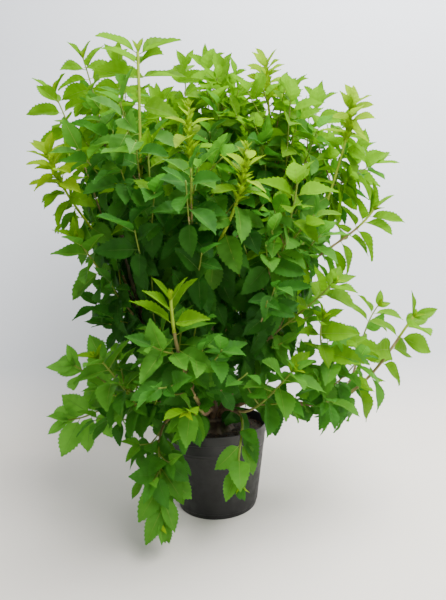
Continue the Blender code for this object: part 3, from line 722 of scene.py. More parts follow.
def limb_tree():
    """Tree of what leaves keep off: canes, leaders and the clear space before some and over the rim."""
    points = []
    faces = []
    curves = [(cane_curve(name)[0], CANE_FOOT_RADIUS) for name in CANES]
    curves += [(curve, STEM_RADIUS) for mass in MASSES for curve in leaders_of(mass)]
    for curve, radius in curves:
        count = max(2, round(curve.length / LIMB_STEP))
        line = [curve.at(curve.length * n / count)[0] for n in range(count + 1)]
        add_shape(points, faces, *tube(line, [radius] * len(line), LIMB_SIDES))
    steps = range(CLEAR_STEPS + 1)
    for (mass, number), (ending, _) in ENDINGS.items():
        curve = leaders_of(mass)[number]
        clear = TRAITS[ending]["clear"]
        if clear:
            spots = [curve.at(curve.length - clear * n / CLEAR_STEPS)[0] for n in steps]
            add_curtain(points, faces, spots, CLEAR_START, CLEAR_REACH)
    for (mass, number), (upper, lower) in BARE_STEMS.items():
        curve = leaders_of(mass)[number]
        stretch = [curve.at(curve.length - blend(upper, lower, n / CLEAR_STEPS))[0] for n in steps]
        for side in (-BARE_SIDE, BARE_SIDE):
            spots = [spot + Vector((side, 0, 0)) for spot in stretch]
            add_curtain(points, faces, spots, CLEAR_START, BARE_REACH)
    for number in range(OPENING_SHEETS):
        x = blend(OPENING_LEFT, OPENING_RIGHT, number / (OPENING_SHEETS - 1))
        spots = [Vector((x, OPENING_FRONT, POT_HEIGHT + rise)) for rise in (OPENING_LOW, OPENING_RISE)]
        add_curtain(points, faces, spots, 0.0, OPENING_REACH)
    return BVHTree.FromPolygons(points, faces)


class Shrub:
    """Everything that grows: stems, leaves, and the blades that later leaves keep off."""

    def __init__(self):
        self.spaces = Spaces()
        self.leaves = []
        self.stems = []
        self.trees = {}
        self.blades = {mass: ([], []) for mass in MASSES}
        self.limbs = limb_tree()

    def free(self, points, faces):
        """Whether a blade crosses nothing that has grown."""
        tree = BVHTree.FromPolygons(points, faces)
        if self.limbs.overlap(tree):
            return False
        return not any(other.overlap(tree) for other in self.trees.values())

    def keep(self, mass, leaf):
        """Add a leaf, and its blade to the tree of its mass."""
        add_shape(*self.blades[mass], *leaf.outline())
        self.trees[mass] = BVHTree.FromPolygons(*self.blades[mass])
        self.leaves.append(leaf)

    def drop(self, mass, before):
        """Forget the leaves grown since there were this many: four points and two faces each."""
        gone = len(self.leaves) - before
        del self.leaves[before:]
        points, faces = self.blades[mass]
        del points[len(points) - 4 * gone:]
        del faces[len(faces) - 2 * gone:]
        if points:
            self.trees[mass] = BVHTree.FromPolygons(points, faces)
        else:
            self.trees.pop(mass, None)

    def try_leaf(self, mass, base, heading, angle, depth, age, ending, rng):
        """Grow a leaf unless every pose tried leaves the space or touches something. Returns 1 or 0."""
        scale = habit(mass, "scale") * (SIDE_SCALE if ending == "side" else 1.0)
        front = habit(mass, "front")
        for attempt in range(TRIES):
            swing = SWING * (1 + attempt / SWING_DOUBLED)
            way, facing = leaf_pose(base, heading, angle, depth, age, ending, front, swing, rng)
            length = blend(leaf_size(depth, ending), leaf_size(depth + AGED_DEPTH), age)
            length *= rng.uniform(*LEAF_JITTER) * (1 - SHRINK * attempt) * scale
            bend = math.radians(at_depth(BEND, depth) + rng.uniform(*BEND_JITTER))
            fold = math.radians(at_depth(FOLD, depth) + rng.uniform(*FOLD_JITTER))
            width = LEAF_SHAPE * at_depth(NARROW, depth) * rng.uniform(*WIDTH_JITTER)
            kind = leaf_kind(mass, depth + age * SIDE_AGE, base, rng)
            if depth < YOUNG.get(ending, 0.0):
                kind = "leaves_tip" if depth < TENDER.get(ending, 0.0) else "leaves_lime"
            leaf = Leaf(base, way, facing, length, width, bend, fold, kind)
            points, faces = leaf.outline()
            if self.spaces.holds(mass, points, habit(mass, "overlap")) and self.free(points, faces):
                self.keep(mass, leaf)
                return 1
        return 0

    def clothe(self, mass, curve, turn, age, ending, rng):
        """Pairs of leaves along a shoot, each pair square to the last. Returns how many leaves grew."""
        grown = 0
        for number, depth in enumerate(node_depths(curve.length, ending, habit(mass, "step"))):
            for side in (0, 1):
                shift = PAIR_OFFSET * (0.5 if side else -0.5)
                base, heading = curve.at(curve.length - depth + shift)
                angle = turn + math.pi * (side + number / 2)
                grown += self.try_leaf(mass, base, heading, angle, depth, age, ending, rng)
        return grown

    def clothe_cane(self, cane):
        """Old leaves that hang from the upper part of a cane."""
        rng = random.Random(f"{SEED} {cane}")
        curve, _ = cane_curve(cane)
        mass = stems_of(cane)[0]
        turn = rng.uniform(0, math.pi)
        number = 0
        distance = curve.length * CANE_BARE
        while distance < curve.length:
            base, heading = curve.at(distance)
            for side in (0, 1):
                angle = turn + math.pi * (side + number / 2)
                self.try_leaf(mass, base, heading, angle, OLD_DEPTH, 0.0, "side", rng)
            number += 1
            distance += CANE_NODE

    def young_leaf(self, base, heading, angle, spread, length, kind, shape):
        """Small leaf that stands beside a tip, not tested against the others."""
        way = heading * math.cos(spread) + side_way(heading, angle) * math.sin(spread)
        self.leaves.append(Leaf(base, way, square_to(way, heading), length, kind=kind, **shape))

    def closed_tip(self, mass, curve, turn):
        """Closed young leaves at a shoot's tip."""
        end, heading = curve.at(curve.length)
        kind = habit(mass, "kind") or "leaves_tip"
        for number in range(CLOSED_LEAVES):
            angle = turn + math.pi * (number + 0.5) / 2
            spread = math.radians(CLOSED_ANGLE + CLOSED_OPENING * number)
            length = (CLOSED_LENGTH + CLOSED_GROWTH * number) * MM
            base = end - heading * number * CLOSED_STEP * MM
            self.young_leaf(base, heading, angle, spread, length, kind, CLOSED_SHAPE)

    def spike_tip(self, curve, turn, rng):
        """Spike of small young leaves at a shoot's tip."""
        for number in range(SPIKE_BRACTS):
            share = number / (SPIKE_BRACTS - 1)
            jitter = rng.uniform(-SPIKE_ANGLE_JITTER, SPIKE_ANGLE_JITTER)
            spread = math.radians(blend(*SPIKE_ANGLES, share) + jitter)
            base, heading = curve.at(curve.length - SPIKE_LENGTH * (1 - share) ** SPIKE_CROWDING)
            length = blend(*BRACT_LENGTHS, share) * rng.uniform(*BRACT_JITTER) * MM
            base = base + heading * BRACT_RISE * MM * share
            angle = turn + number * SPIKE_TURN
            self.young_leaf(base, heading, angle, spread, length, "leaves_tip", BRACT_SHAPE)

    def side_shoot(self, mass, curve, depth, angle, rng):
        """Short leafy shoot from a leaf's axil that curves up, if it fits and keeps enough leaves."""
        base, heading = curve.at(curve.length - depth + SIDE_START)
        for attempt in range(SIDE_TRIES):
            length = min(habit(mass, "length"), habit(mass, "share") * depth)
            length *= rng.uniform(*SIDE_LENGTHS) * (1 - SIDE_SHORTER * attempt)
            spread = math.radians(rng.uniform(*SIDE_ANGLES))
            outward = side_way(heading, angle + rng.uniform(-SIDE_SWING, SIDE_SWING))
            way = heading * math.cos(spread) + outward * math.sin(spread)
            ending = (way + UP * SIDE_RISE).normalized()
            tip = base + (way + ending).normalized() * length
            if not self.spaces.holds(mass, [tip, (base + tip) / 2], 0.0):
                continue
            shoot = Curve(base, way, tip, ending, STEM_STEP)
            before = len(self.leaves)
            turn = rng.uniform(0, math.pi)
            if self.clothe(mass, shoot, turn, at_depth(SIDE_AGEING, depth), "side", rng) >= SIDE_LEAVES:
                self.stems.append((shoot, SIDE_RADIUS, TIP_RADIUS * SIDE_TIP_SHARE, "side"))
                return
            self.drop(mass, before)

    def grow(self, mass):
        """Stem, shoots and leaves of one mass, from the leaders outward."""
        rng = random.Random(f"{SEED} {mass}")
        leaders = leaders_of(mass)
        turns = [rng.gauss(0, TURN_JITTER) if curve.points[-1].y < BACK_START else rng.uniform(0, math.pi)
                 for curve in leaders]
        first = len(self.leaves)
        for number, (curve, turn) in enumerate(zip(leaders, turns)):
            ending, _ = ending_of(mass, number)
            radius = TWIG_RADIUS if number else STEM_RADIUS
            radius *= BARE_THICK if (mass, number) in BARE_STEMS else 1.0
            if ending in SLENDER:
                self.stems.append((curve, radius, TIP_RADIUS, "leader"))
            else:
                wood = "sturdy" if ending == "flat" else "stout"
                self.stems.append((curve, radius * STOUT, TIP_RADIUS * STOUT_TIP, wood))
            self.clothe(mass, curve, turn, 0.0, ending, rng)
            if ending in ("spike", "leafy"):
                self.spike_tip(curve, turn, rng)
            else:
                self.closed_tip(mass, curve, turn)
        for curve, turn in zip(leaders, turns):
            for number, depth in enumerate(node_depths(curve.length)):
                if depth < habit(mass, "side_from") or depth > curve.length - SIDE_LAST:
                    continue
                if len(self.leaves) - first > habit(mass, "most"):
                    break
                for side in (0, 1):
                    self.side_shoot(mass, curve, depth, turn + math.pi * (side + number / 2), rng)


def ring_faces(rows, sides, first=0):
    """Faces between rings of points, each ring above the last."""
    faces = []
    for row in range(rows):
        low = first + row * sides
        high = low + sides
        for side in range(sides):
            after = (side + 1) % sides
            faces.append((low + side, low + after, high + after, high + side))
    return faces


def closed_faces(rows, sides):
    """Faces between rings of points, with one over each end."""
    ends = [tuple(reversed(range(sides))), tuple(range(rows * sides, (rows + 1) * sides))]
    return ring_faces(rows, sides) + ends


def tube(line, radii, sides):
    """Points and faces of a tapering tube with flat ends."""
    points = []
    last = len(line) - 1
    before = (line[1] - line[0]).normalized()
    turn = UP.rotation_difference(before)
    for number, centre in enumerate(line):
        direction = (line[min(number + 1, last)] - line[max(number - 1, 0)]).normalized()
        turn = before.rotation_difference(direction) @ turn
        before = direction
        for side in range(sides):
            points.append(centre + turn @ round_way(math.tau * side / sides) * radii[number])
    return points, closed_faces(last, sides)


def joined(name, shapes, material, nodes=()):
    """One piece made of many (points, faces) shapes."""
    points = []
    faces = []
    for shape_points, shape_faces in shapes:
        add_shape(points, faces, [tuple(p) for p in shape_points], shape_faces)
    piece(name, points, faces, material, nodes)


def piece(name, points, faces, material, nodes=()):
    """Smooth-shaded piece that rides on the plant and stands for the nodes it replaces."""
    mesh = bpy.data.meshes.new(name)
    mesh.from_pydata(points, [], faces)
    mesh.shade_smooth()
    mesh.materials.append(material)
    made = linked_object(name, mesh)
    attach(made, "root")
    if nodes:
        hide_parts(*nodes)


def blade_template():
    """Position along and across the blade of each of its points, the relief there, and its faces."""
    spots = [(0.0, 0.0, 0.0, 0)]
    for row in range(1, ROWS):
        share = row / ROWS
        half = (share ** BASE_ROUND) * ((1 - share) ** TIP_DRAWN) / WIDEST
        tooth = 1 + TOOTH_DEPTH * (1 if row % 2 else -TOOTH_NOTCH)
        for across in ACROSS:
            edge = abs(across)
            forward = share - VEIN_SLANT * (1 - edge) * math.sin(math.pi * share)
            if edge == 1.0 and row % 2:
                forward += TOOTH_HOOK
            quilt = -math.cos(math.tau * row / ROWS_PER_VEIN) * math.sin(math.pi * edge) * QUILT
            width = across * half * (tooth if edge == 1.0 else 1.0)
            spots.append((forward, width, quilt, edge))
    spots.append((1.0, 0.0, 0.0, 0))
    columns = len(ACROSS)
    faces = []
    for row in range(ROWS - 2):
        for column in range(columns - 1):
            low = 1 + row * columns + column
            high = low + columns
            faces.append((low, low + 1, high + 1, high))
    for column in range(columns - 1):
        last = 1 + (ROWS - 2) * columns + column
        faces.append((0, column + 2, column + 1))
        faces.append((last, last + 1, len(spots) - 1))
    return np.array(spots), faces


def blades(name, leaves, material, rng, nodes):
    """All the leaf blades of one colour as one piece."""
    spots, faces = blade_template()
    along, across, quilt, edge = spots.T
    points = []
    all_faces = []
    for leaf in leaves:
        all_faces += [tuple(len(points) * len(spots) + i for i in face) for face in faces]
        length = leaf.length * (1 - PETIOLE)
        bend = max(leaf.bend, LEAST_BEND)
        side = np.array(leaf.way.cross(leaf.facing))
        way = np.array(leaf.way)
        facing = np.array(leaf.facing)
        turn = bend * along
        x = np.sin(turn) / bend * length
        z = -(1 - np.cos(turn)) / bend * length
        half = across * leaf.width * leaf.length / 2
        phase = rng.uniform(0, math.tau) + along * WAVE_TURNS + np.sign(across) * WAVE_SHIFT
        wave = WAVE * leaf.length * edge * np.sin(phase)
        lift = np.abs(half) * math.sin(leaf.fold) + quilt * leaf.length + wave
        normal = np.cos(turn)[:, None] * facing + np.sin(turn)[:, None] * way
        spot = np.array(leaf.root()) + x[:, None] * way + z[:, None] * facing
        points.append(spot + (half * math.cos(leaf.fold))[:, None] * side + lift[:, None] * normal)
    piece(name, np.vstack(points).tolist(), all_faces, material, nodes)


def rib(leaf):
    """Stalk and midrib of a leaf: one three-sided strip that thins to the tip."""
    line = [leaf.base - leaf.way * RIB_SINK * MM]
    bend = max(leaf.bend, LEAST_BEND)
    length = leaf.length * (1 - PETIOLE)
    root = leaf.root()
    for share in RIB_MARKS:
        turn = bend * share
        forward = leaf.way * math.sin(turn) / bend * length
        line.append(root + forward - leaf.facing * (1 - math.cos(turn)) / bend * length)
    thick = leaf.length * RIB_SHARE
    return tube(line, [thick * taper for taper in RIB_TAPER], 3)


def stem_shape(curve, start, finish, first, final):
    """Part of a stem, swollen a little at its nodes."""
    nodes = [curve.length - depth for depth in node_depths(curve.length)]
    count = max(2, round((finish - start) / STEM_STEP))
    line = []
    radii = []
    for number in range(count + 1):
        mark = start + (finish - start) * number / count
        line.append(curve.at(mark)[0])
        near = min((abs(mark - node) for node in nodes), default=1.0)
        swell = 1 + NODE_SWELL * max(0.0, 1 - near / NODE_REACH)
        radii.append((first + (final - first) * mark / curve.length) * swell)
    return tube(line, radii, STEM_SIDES)


def wood_pieces(shrub, nodes):
    """Stems as pieces by age of wood: brown below, tan above, and green or gold near the tips."""
    shapes = {kind: [] for kind in STEM_COLOURS}
    for curve, first, final, kind in shrub.stems:
        young, new = NEW_WOOD[kind]
        fresh = max(0.0, curve.length - young)
        tan = max(0.0, curve.length - new)
        tip = "stems_gold" if kind in ("stout", "sturdy") else "stems_green"
        parts = (("stems_brown", 0.0, tan), ("stems_tan", tan, fresh), (tip, fresh, curve.length))
        for part, start, finish in parts:
            if finish - start > STEM_STEP:
                shapes[part].append(stem_shape(curve, start, finish, first, final))
    for part, (low, high) in STEM_COLOURS.items():
        joined(part, shapes[part], bark_material(part, low, high), nodes)


def relief(layers, spot):
    """Height of a rough surface: layers of noise, each with its depth and its fineness."""
    return sum(depth * noise.noise(spot * fineness) for depth, fineness in layers)


def cane_shape(name):
    """Cane with ridged bark, rings at its nodes and a small flare at its foot."""
    curve, _ = cane_curve(name)
    final = FORK_RADIUS if len(stems_of(name)) > 1 else SINGLE_RADIUS
    points = []
    before = curve.at(0)[1]
    turn = UP.rotation_difference(before)
    count = round(curve.length / CANE_STEP)
    phase = Vector((CANES[name][0], CANES[name][1] * 90, 0))
    for number in range(count + 1):
        mark = curve.length * number / count
        centre, direction = curve.at(mark)
        turn = before.rotation_difference(direction) @ turn
        before = direction
        radius = CANE_FOOT_RADIUS + (final - CANE_FOOT_RADIUS) * number / count
        ring = abs((mark / BARK_RING) % 1.0 - 0.5) * 2
        swell = RING_SWELL * max(0.0, 1 - (1 - ring) / RING_WIDTH)
        radius *= 1 + swell + FLARE_SWELL * max(0.0, 1 - mark / CANE_FLARE)
        for side in range(CANE_SIDES):
            way = round_way(math.tau * side / CANE_SIDES)
            spot = way * GRAIN_ROUND + Vector((0, 0, mark * GRAIN_ALONG)) + phase
            points.append(centre + turn @ way * radius * (1 + relief(CANE_RELIEF, spot)))
    return points, closed_faces(count, CANE_SIDES)


def stool_shape():
    """Woody base with lobes under the canes, knots and fissured bark."""
    base = COMPOST_TOP - STOOL_SINK
    points = []
    for row in range(STOOL_ROWS + 1):
        share = row / STOOL_ROWS
        waist = 1 - STOOL_WAIST * math.sin(math.pi * min(1.0, share / WAIST_TOP)) - STOOL_TAPER * share
        dome = math.sqrt(max(0.0, 1 - max(0.0, (share - DOME_START) / (1 - DOME_START)) ** 2))
        for side in range(ROUND_SIDES):
            angle = math.tau * side / ROUND_SIDES
            lobes = 1 + LOBE_DEPTH * math.cos(LOBES * angle) * (1 - share / 2)
            lobes += BULGE_DEPTH * math.cos(BULGES * angle + 1)
            bark = relief(STOOL_RELIEF, Vector((math.cos(angle), math.sin(angle), share)) * STOOL_GRAIN)
            radius = STOOL_RADIUS * waist * dome * lobes * (1 + bark)
            height = base + (STOOL_TOP - base) * share
            points.append(Vector((radius * math.cos(angle), radius * math.sin(angle), height)))
    return points, closed_faces(STOOL_ROWS, ROUND_SIDES)


def linked_object(name, data):
    """New object in the scene."""
    made = bpy.data.objects.new(name, data)
    bpy.context.scene.collection.objects.link(made)
    return made


def shader_node(tree, kind, **values):
    """New shader node with values in its sockets."""
    made = tree.nodes.new(f"ShaderNode{kind}")
    for name, value in values.items():
        made.inputs[name].default_value = value
    return made


def noisy(tree, scale, detail, stretch=(1, 1, 1)):
    """Noise over the object, in its own coordinates."""
    coords = shader_node(tree, "TexCoord")
    mapping = shader_node(tree, "Mapping", Scale=stretch)
    grain = shader_node(tree, "TexNoise", Scale=scale, Detail=detail)
    tree.links.new(coords.outputs["Object"], mapping.inputs["Vector"])
    tree.links.new(mapping.outputs["Vector"], grain.inputs["Vector"])
    return grain.outputs["Fac"]


def ramped(tree, height, low, high, start=0.35, end=0.65):
    """Colour that runs from one to another over a stretch of a value."""
    ramp = shader_node(tree, "ValToRGB")
    for stop, position, colour in zip(ramp.color_ramp.elements, (start, end), (low, high)):
        stop.position = position
        stop.color = (*colour, 1)
    tree.links.new(height, ramp.inputs["Fac"])
    return ramp.outputs["Color"]


def bumped(tree, shader, height, strength, distance):
    """Surface relief from a height."""
    bump = shader_node(tree, "Bump", Strength=strength, Distance=distance)
    tree.links.new(height, bump.inputs["Height"])
    tree.links.new(bump.outputs["Normal"], shader.inputs["Normal"])


def mixed(tree, share, first, second, output):
    """Output that mixes two shaders, by a number or by a socket."""
    mix = shader_node(tree, "MixShader")
    if isinstance(share, float):
        mix.inputs["Fac"].default_value = share
    else:
        tree.links.new(share, mix.inputs["Fac"])
    tree.links.new(first.outputs["BSDF"], mix.inputs[1])
    tree.links.new(second.outputs["BSDF"], mix.inputs[2])
    tree.links.new(mix.outputs["Shader"], output.inputs["Surface"])


def node_material(name, roughness, gloss=0.5):
    """New node material with its shader and output."""
    made = bpy.data.materials.new(name)
    made.use_nodes = True
    tree = made.node_tree
    shader = tree.nodes["Principled BSDF"]
    shader.inputs["Roughness"].default_value = roughness
    shader.inputs["Specular IOR Level"].default_value = gloss
    return made, tree, shader, tree.nodes["Material Output"]


def leaf_material(name, colour):
    """Leaf skin: soft sheen, fine veinlets, and light that passes through."""
    made, tree, shader, output = node_material(name, roughness=0.58, gloss=0.10)
    low = tuple(c * (1 - LEAF_MOTTLE) for c in colour)
    high = tuple(c * (1 + LEAF_MOTTLE) for c in colour)
    tree.links.new(ramped(tree, noisy(tree, scale=38, detail=4.0), low, high), shader.inputs["Base Color"])
    veins = shader_node(tree, "TexVoronoi", Scale=420)
    veins.feature = "DISTANCE_TO_EDGE"
    coords = shader_node(tree, "TexCoord")
    tree.links.new(coords.outputs["Object"], veins.inputs["Vector"])
    bumped(tree, shader, veins.outputs["Distance"], strength=0.35, distance=0.6 * MM)
    tint = [min(1, c * gain) for c, gain in zip(colour, THROUGH_GAIN)]
    through = shader_node(tree, "BsdfTranslucent", Color=(*tint, 1))
    mixed(tree, THROUGH_SHARE, shader, through, output)
    return made


def bark_material(name, low, high):
    """Fibrous bark, streaked along the stem."""
    made, tree, shader, _ = node_material(name, roughness=0.72, gloss=0.3)
    grain = noisy(tree, scale=90, detail=6.0, stretch=(1, 1, 0.22))
    tree.links.new(ramped(tree, grain, low, high), shader.inputs["Base Color"])
    bumped(tree, shader, grain, strength=0.5, distance=0.8 * MM)
    return made


def pot_material(name):
    """Charcoal moulded plastic with faint dust and scuffs."""
    made, tree, shader, _ = node_material(name, roughness=0.5, gloss=0.38)
    dust = noisy(tree, scale=22, detail=8.0, stretch=(1, 1, 0.5))
    tree.links.new(ramped(tree, dust, [0.007] * 3, [0.014] * 3), shader.inputs["Base Color"])
    scuffs = noisy(tree, scale=60, detail=6.0)
    tree.links.new(ramped(tree, scuffs, [0.46] * 3, [0.64] * 3), shader.inputs["Roughness"])
    fine = shader_node(tree, "TexNoise", Scale=900)
    bumped(tree, shader, fine.outputs["Fac"], strength=0.12, distance=0.3 * MM)
    return made


def compost_material(name, low, high):
    """Damp crumbly compost."""
    made, tree, shader, _ = node_material(name, roughness=0.92)
    grain = noisy(tree, scale=160, detail=8.0)
    tree.links.new(ramped(tree, grain, low, high), shader.inputs["Base Color"])
    bumped(tree, shader, grain, strength=0.8, distance=2 * MM)
    return made


def backdrop_material(name):
    """Matt cloth, warmer on the floor than on the wall, and clear from behind."""
    made, tree, shader, output = node_material(name, roughness=0.95)
    coords = shader_node(tree, "TexCoord")
    split = shader_node(tree, "SeparateXYZ")
    tree.links.new(coords.outputs["Object"], split.inputs["Vector"])
    colour = ramped(tree, split.outputs["Z"], FLOOR_COLOUR, WALL_COLOUR, 0.0, WALL_CURVE)
    tree.links.new(colour, shader.inputs["Base Color"])
    side = shader_node(tree, "NewGeometry")
    clear = shader_node(tree, "BsdfTransparent")
    mixed(tree, side.outputs["Backfacing"], shader, clear, output)
    return made


def wall_radius(height):
    """Outer radius of the pot's wall at a height, between the foot step and the band."""
    top = RIM_RADIUS - BAND_STEP
    return FOOT_RADIUS + (top - FOOT_RADIUS) * height / BAND_BASE


def pot_profile():
    """Section of the pot: flat foot, tapering wall, two fine rings, band, rolled lip and the inside."""
    foot = FOOT_RADIUS - FOOT_STEP
    above = FOOT_STEP_HEIGHT + FOOT_STEP
    profile = [
        (0, 0),
        (foot - FOOT_EDGE, 0),
        (foot - 0.35 * MM, 0.35 * MM),
        (foot, FOOT_EDGE),
        (wall_radius(FOOT_STEP_HEIGHT) - FOOT_STEP, FOOT_STEP_HEIGHT),
        (wall_radius(above), above),
    ]
    for drop in RING_DROPS:
        for step, rise in RING_SECTION:
            height = BAND_BASE - drop + step
            profile.append((wall_radius(height) + rise, height))
    profile += [
        (wall_radius(BAND_BASE) - 0.2 * MM, BAND_BASE - 0.6 * MM),
        (wall_radius(BAND_BASE) + 0.5 * MM, BAND_BASE),
        (RIM_RADIUS - 0.8 * MM, BAND_BASE + 0.8 * MM),
        (RIM_RADIUS - 0.9 * MM, POT_HEIGHT - 4.2 * MM),
    ]
    for turn in range(-60, 181, 30):
        way = round_way(math.radians(turn)) * LIP_RADIUS
        profile.append((RIM_RADIUS - LIP_RADIUS + way.x, POT_HEIGHT - LIP_RADIUS + way.y))
    profile += [
        (RIM_RADIUS - POT_WALL - LIP_RADIUS * 0.4, POT_HEIGHT - 4 * MM),
        (wall_radius(BAND_BASE) - POT_WALL, BAND_BASE - BAND_STEP),
        (wall_radius(POT_FLOOR) - POT_WALL - FOOT_STEP, POT_FLOOR),
        (0, POT_FLOOR),
    ]
    return profile


def build_pot():
    """Moulded pot with drain holes in its floor."""
    shape = bmesh.new()
    line = [shape.verts.new((radius, 0, height)) for radius, height in pot_profile()]
    edges = [shape.edges.new(pair) for pair in zip(line, line[1:])]
    bmesh.ops.spin(shape, geom=line + edges, cent=(0, 0, 0), axis=(0, 0, 1), angle=math.tau, steps=POT_SIDES,
                   use_duplicate=False)
    bmesh.ops.remove_doubles(shape, verts=shape.verts, dist=WELD)
    bmesh.ops.recalc_face_normals(shape, faces=shape.faces)
    mesh = bpy.data.meshes.new("pot_shell")
    shape.to_mesh(mesh)
    shape.free()
    pot = linked_object("pot_shell", mesh)
    for number in range(DRAIN_HOLES):
        angle = math.tau * (number / DRAIN_HOLES + DRAIN_TURN)
        bpy.ops.mesh.primitive_cylinder_add(vertices=DRAIN_SIDES, radius=DRAIN_RADIUS, depth=4 * POT_FLOOR)
        drill = bpy.context.object
        drill.location = (DRAIN_RING * math.cos(angle), DRAIN_RING * math.sin(angle), POT_FLOOR / 2)
        cut = pot.modifiers.new("cut", "BOOLEAN")
        cut.operation = "DIFFERENCE"
        cut.object = drill
        bpy.context.view_layer.update()
        solid = bpy.data.meshes.new_from_object(pot.evaluated_get(bpy.context.evaluated_depsgraph_get()))
        pot.modifiers.clear()
        pot.data = solid
        bpy.data.objects.remove(drill, do_unlink=True)
    pot.data.shade_smooth()
    pot.data.set_sharp_from_angle(angle=SHARP_ANGLE)
    pot.data.materials.clear()
    pot.data.materials.append(pot_material("pot_plastic"))
    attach(pot, "root")
    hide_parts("pot")


def build_compost():
    """Uneven compost surface with crumbs and bark chips, on the fill of the pot."""
    rng = random.Random(f"{SEED} compost")
    brim = wall_radius(COMPOST_TOP) - POT_WALL - COMPOST_GAP
    points = [(0, 0, COMPOST_TOP + COMPOST_CROWN)]
    for ring in range(1, COMPOST_RINGS + 1):
        share = ring / COMPOST_RINGS
        dip = COMPOST_DIP * max(0.0, (share - DIP_START) / (1 - DIP_START))
        for side in range(ROUND_SIDES):
            angle = math.tau * side / ROUND_SIDES
            x = brim * share * math.cos(angle)
            y = brim * share * math.sin(angle)
            rise = relief(COMPOST_RELIEF, Vector((x * COMPOST_GRAIN, y * COMPOST_GRAIN, 0)))
            points.append((x, y, COMPOST_TOP + COMPOST_COVER + (rise - dip) * MM))
    faces = [(0, 1 + side, 1 + (side + 1) % ROUND_SIDES) for side in range(ROUND_SIDES)]
    faces += [(a, d, c, b) for a, b, c, d in ring_faces(COMPOST_RINGS - 1, ROUND_SIDES, 1)]
    soil = compost_material("compost_soil", (0.012, 0.008, 0.005), (0.050, 0.032, 0.018))
    piece("compost_surface", points, faces, soil)
    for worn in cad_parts["compost"].material_slots:
        worn.material = soil
    chips = []
    for _ in range(CHIPS):
        radius = brim * math.sqrt(rng.uniform(*CHIP_SPREAD))
        angle = rng.uniform(0, math.tau)
        size = rng.uniform(*CHIP_SIZES) * MM
        centre = Vector((radius * math.cos(angle), radius * math.sin(angle), COMPOST_TOP + CHIP_HEIGHT))
        axis = Vector((rng.gauss(0, 1), rng.gauss(0, 1), rng.gauss(0, 1))).normalized()
        turn = Quaternion(axis, rng.uniform(0, CHIP_TURN))
        stretch = [size * rng.uniform(*span) for span in CHIP_SPANS]
        chips.append(chip_shape(centre, turn, stretch, rng))
    bark = compost_material("compost_bark", (0.030, 0.018, 0.010), (0.110, 0.066, 0.036))
    joined("compost_chips", chips, bark)


def chip_shape(centre, turn, stretch, rng):
    """Irregular eight-cornered crumb."""
    points = []
    for corner in itertools.product((-0.5, 0.5), repeat=3):
        spot = Vector([half * size for half, size in zip(reversed(corner), stretch)])
        points.append(centre + turn @ (spot * rng.uniform(*CHIP_JITTER)))
    faces = [(0, 2, 3, 1), (4, 5, 7, 6), (0, 1, 5, 4), (2, 6, 7, 3), (0, 4, 6, 2), (1, 3, 7, 5)]
    return points, faces


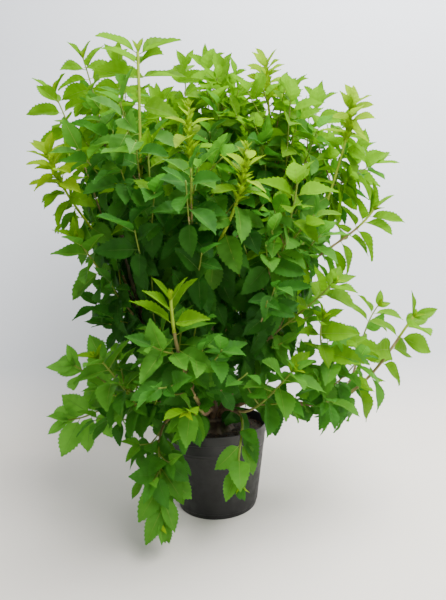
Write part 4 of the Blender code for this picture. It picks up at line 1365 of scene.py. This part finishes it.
def build_plant():
    """Grow the shrub by its rule and turn it into pieces."""
    shrub = Shrub()
    for mass in MASSES:
        shrub.grow(mass)
    for cane in CANES:
        shrub.clothe_cane(cane)
    nodes = list(MASSES)
    wood_pieces(shrub, nodes)
    rng = random.Random(f"{SEED} blades")
    for kind, colour in LEAF_COLOURS.items():
        chosen = [leaf for leaf in shrub.leaves if leaf.kind == kind]
        surface = leaf_material(kind, colour)
        for number in range(0, len(chosen), BLADES_PER_PIECE):
            part = chosen[number:number + BLADES_PER_PIECE]
            blades(f"{kind}_{number // BLADES_PER_PIECE + 1}", part, surface, rng, nodes)
    pale = bark_material("ribs_pale", (0.200, 0.330, 0.035), (0.260, 0.380, 0.050))
    green = bark_material("ribs_green", (0.075, 0.180, 0.022), (0.110, 0.230, 0.034))
    # Pale ribs on the tip, lime and fresh leaves, whose colour is youth and painted light; green ribs on the
    # rest
    ribbed = [leaf for leaf in shrub.leaves if leaf.length > RIB_LEAST]
    young = [rib(leaf) for leaf in ribbed if leaf.kind in YOUNG_AND_PAINTED_LIT_KINDS]
    grown = [rib(leaf) for leaf in ribbed if leaf.kind not in YOUNG_AND_PAINTED_LIT_KINDS]
    joined("ribs_young_and_painted_lit", young, pale, nodes)
    joined("ribs_grown", grown, green, nodes)
    bark = bark_material("cane_bark", (0.110, 0.068, 0.036), (0.240, 0.150, 0.080))
    joined("canes", [cane_shape(name) for name in CANES], bark, list(CANES))
    old = bark_material("stool_bark", (0.060, 0.042, 0.028), (0.160, 0.110, 0.070))
    joined("stool_wood", [stool_shape()], old, ["stool"])


def build_camera():
    """Camera of the main view."""
    data = bpy.data.cameras.new("camera")
    data.lens = CAMERA_LENS
    camera = linked_object("camera", data)
    turn = Matrix.Rotation(math.pi / 2 - CAMERA_DOWN, 4, "X") @ Matrix.Rotation(CAMERA_ROLL, 4, "Z")
    camera.matrix_world = Matrix.Translation(CAMERA_PLACE) @ turn
    bpy.context.scene.camera = camera


def build_backdrop():
    """Pale floor that curves up into a one-sided wall."""
    bend = WALL_DISTANCE - WALL_CURVE
    rows = [(-FLOOR_FRONT, 0.0), (bend, 0.0)]
    for number in range(1, CURVE_STEPS + 1):
        angle = math.pi / 2 * number / CURVE_STEPS
        rows.append((bend + WALL_CURVE * math.sin(angle), WALL_CURVE * (1 - math.cos(angle))))
    rows.append((WALL_DISTANCE, WALL_HEIGHT))
    points = [(x, y, z) for y, z in rows for x in (-FLOOR_SIZE, FLOOR_SIZE)]
    faces = [(2 * n, 2 * n + 1, 2 * n + 3, 2 * n + 2) for n in range(len(rows) - 1)]
    mesh = bpy.data.meshes.new("backdrop")
    mesh.from_pydata(points, [], faces)
    mesh.shade_smooth()
    mesh.materials.append(backdrop_material("backdrop_cloth"))
    backdrop = linked_object("backdrop", mesh)


def build_lights():
    """Square soft lights aimed at the plant, and an even surround."""
    for name, (where, target, size, power) in LIGHTS.items():
        data = bpy.data.lights.new(name, "AREA")
        data.size = size
        data.energy = power
        light = linked_object(name, data)
        light.location = where
        light.rotation_euler = (Vector(target) - Vector(where)).to_track_quat("-Z", "Y").to_euler()
    world = bpy.data.worlds.new("surround")
    world.use_nodes = True
    background = world.node_tree.nodes["Background"]
    background.inputs["Color"].default_value = (*SURROUND_COLOUR, 1)
    background.inputs["Strength"].default_value = SURROUND_STRENGTH
    bpy.context.scene.world = world


def main():
    """Camera, studio, pot and plant."""
    build_camera()
    build_backdrop()
    build_lights()
    build_pot()
    build_compost()
    build_plant()


main()
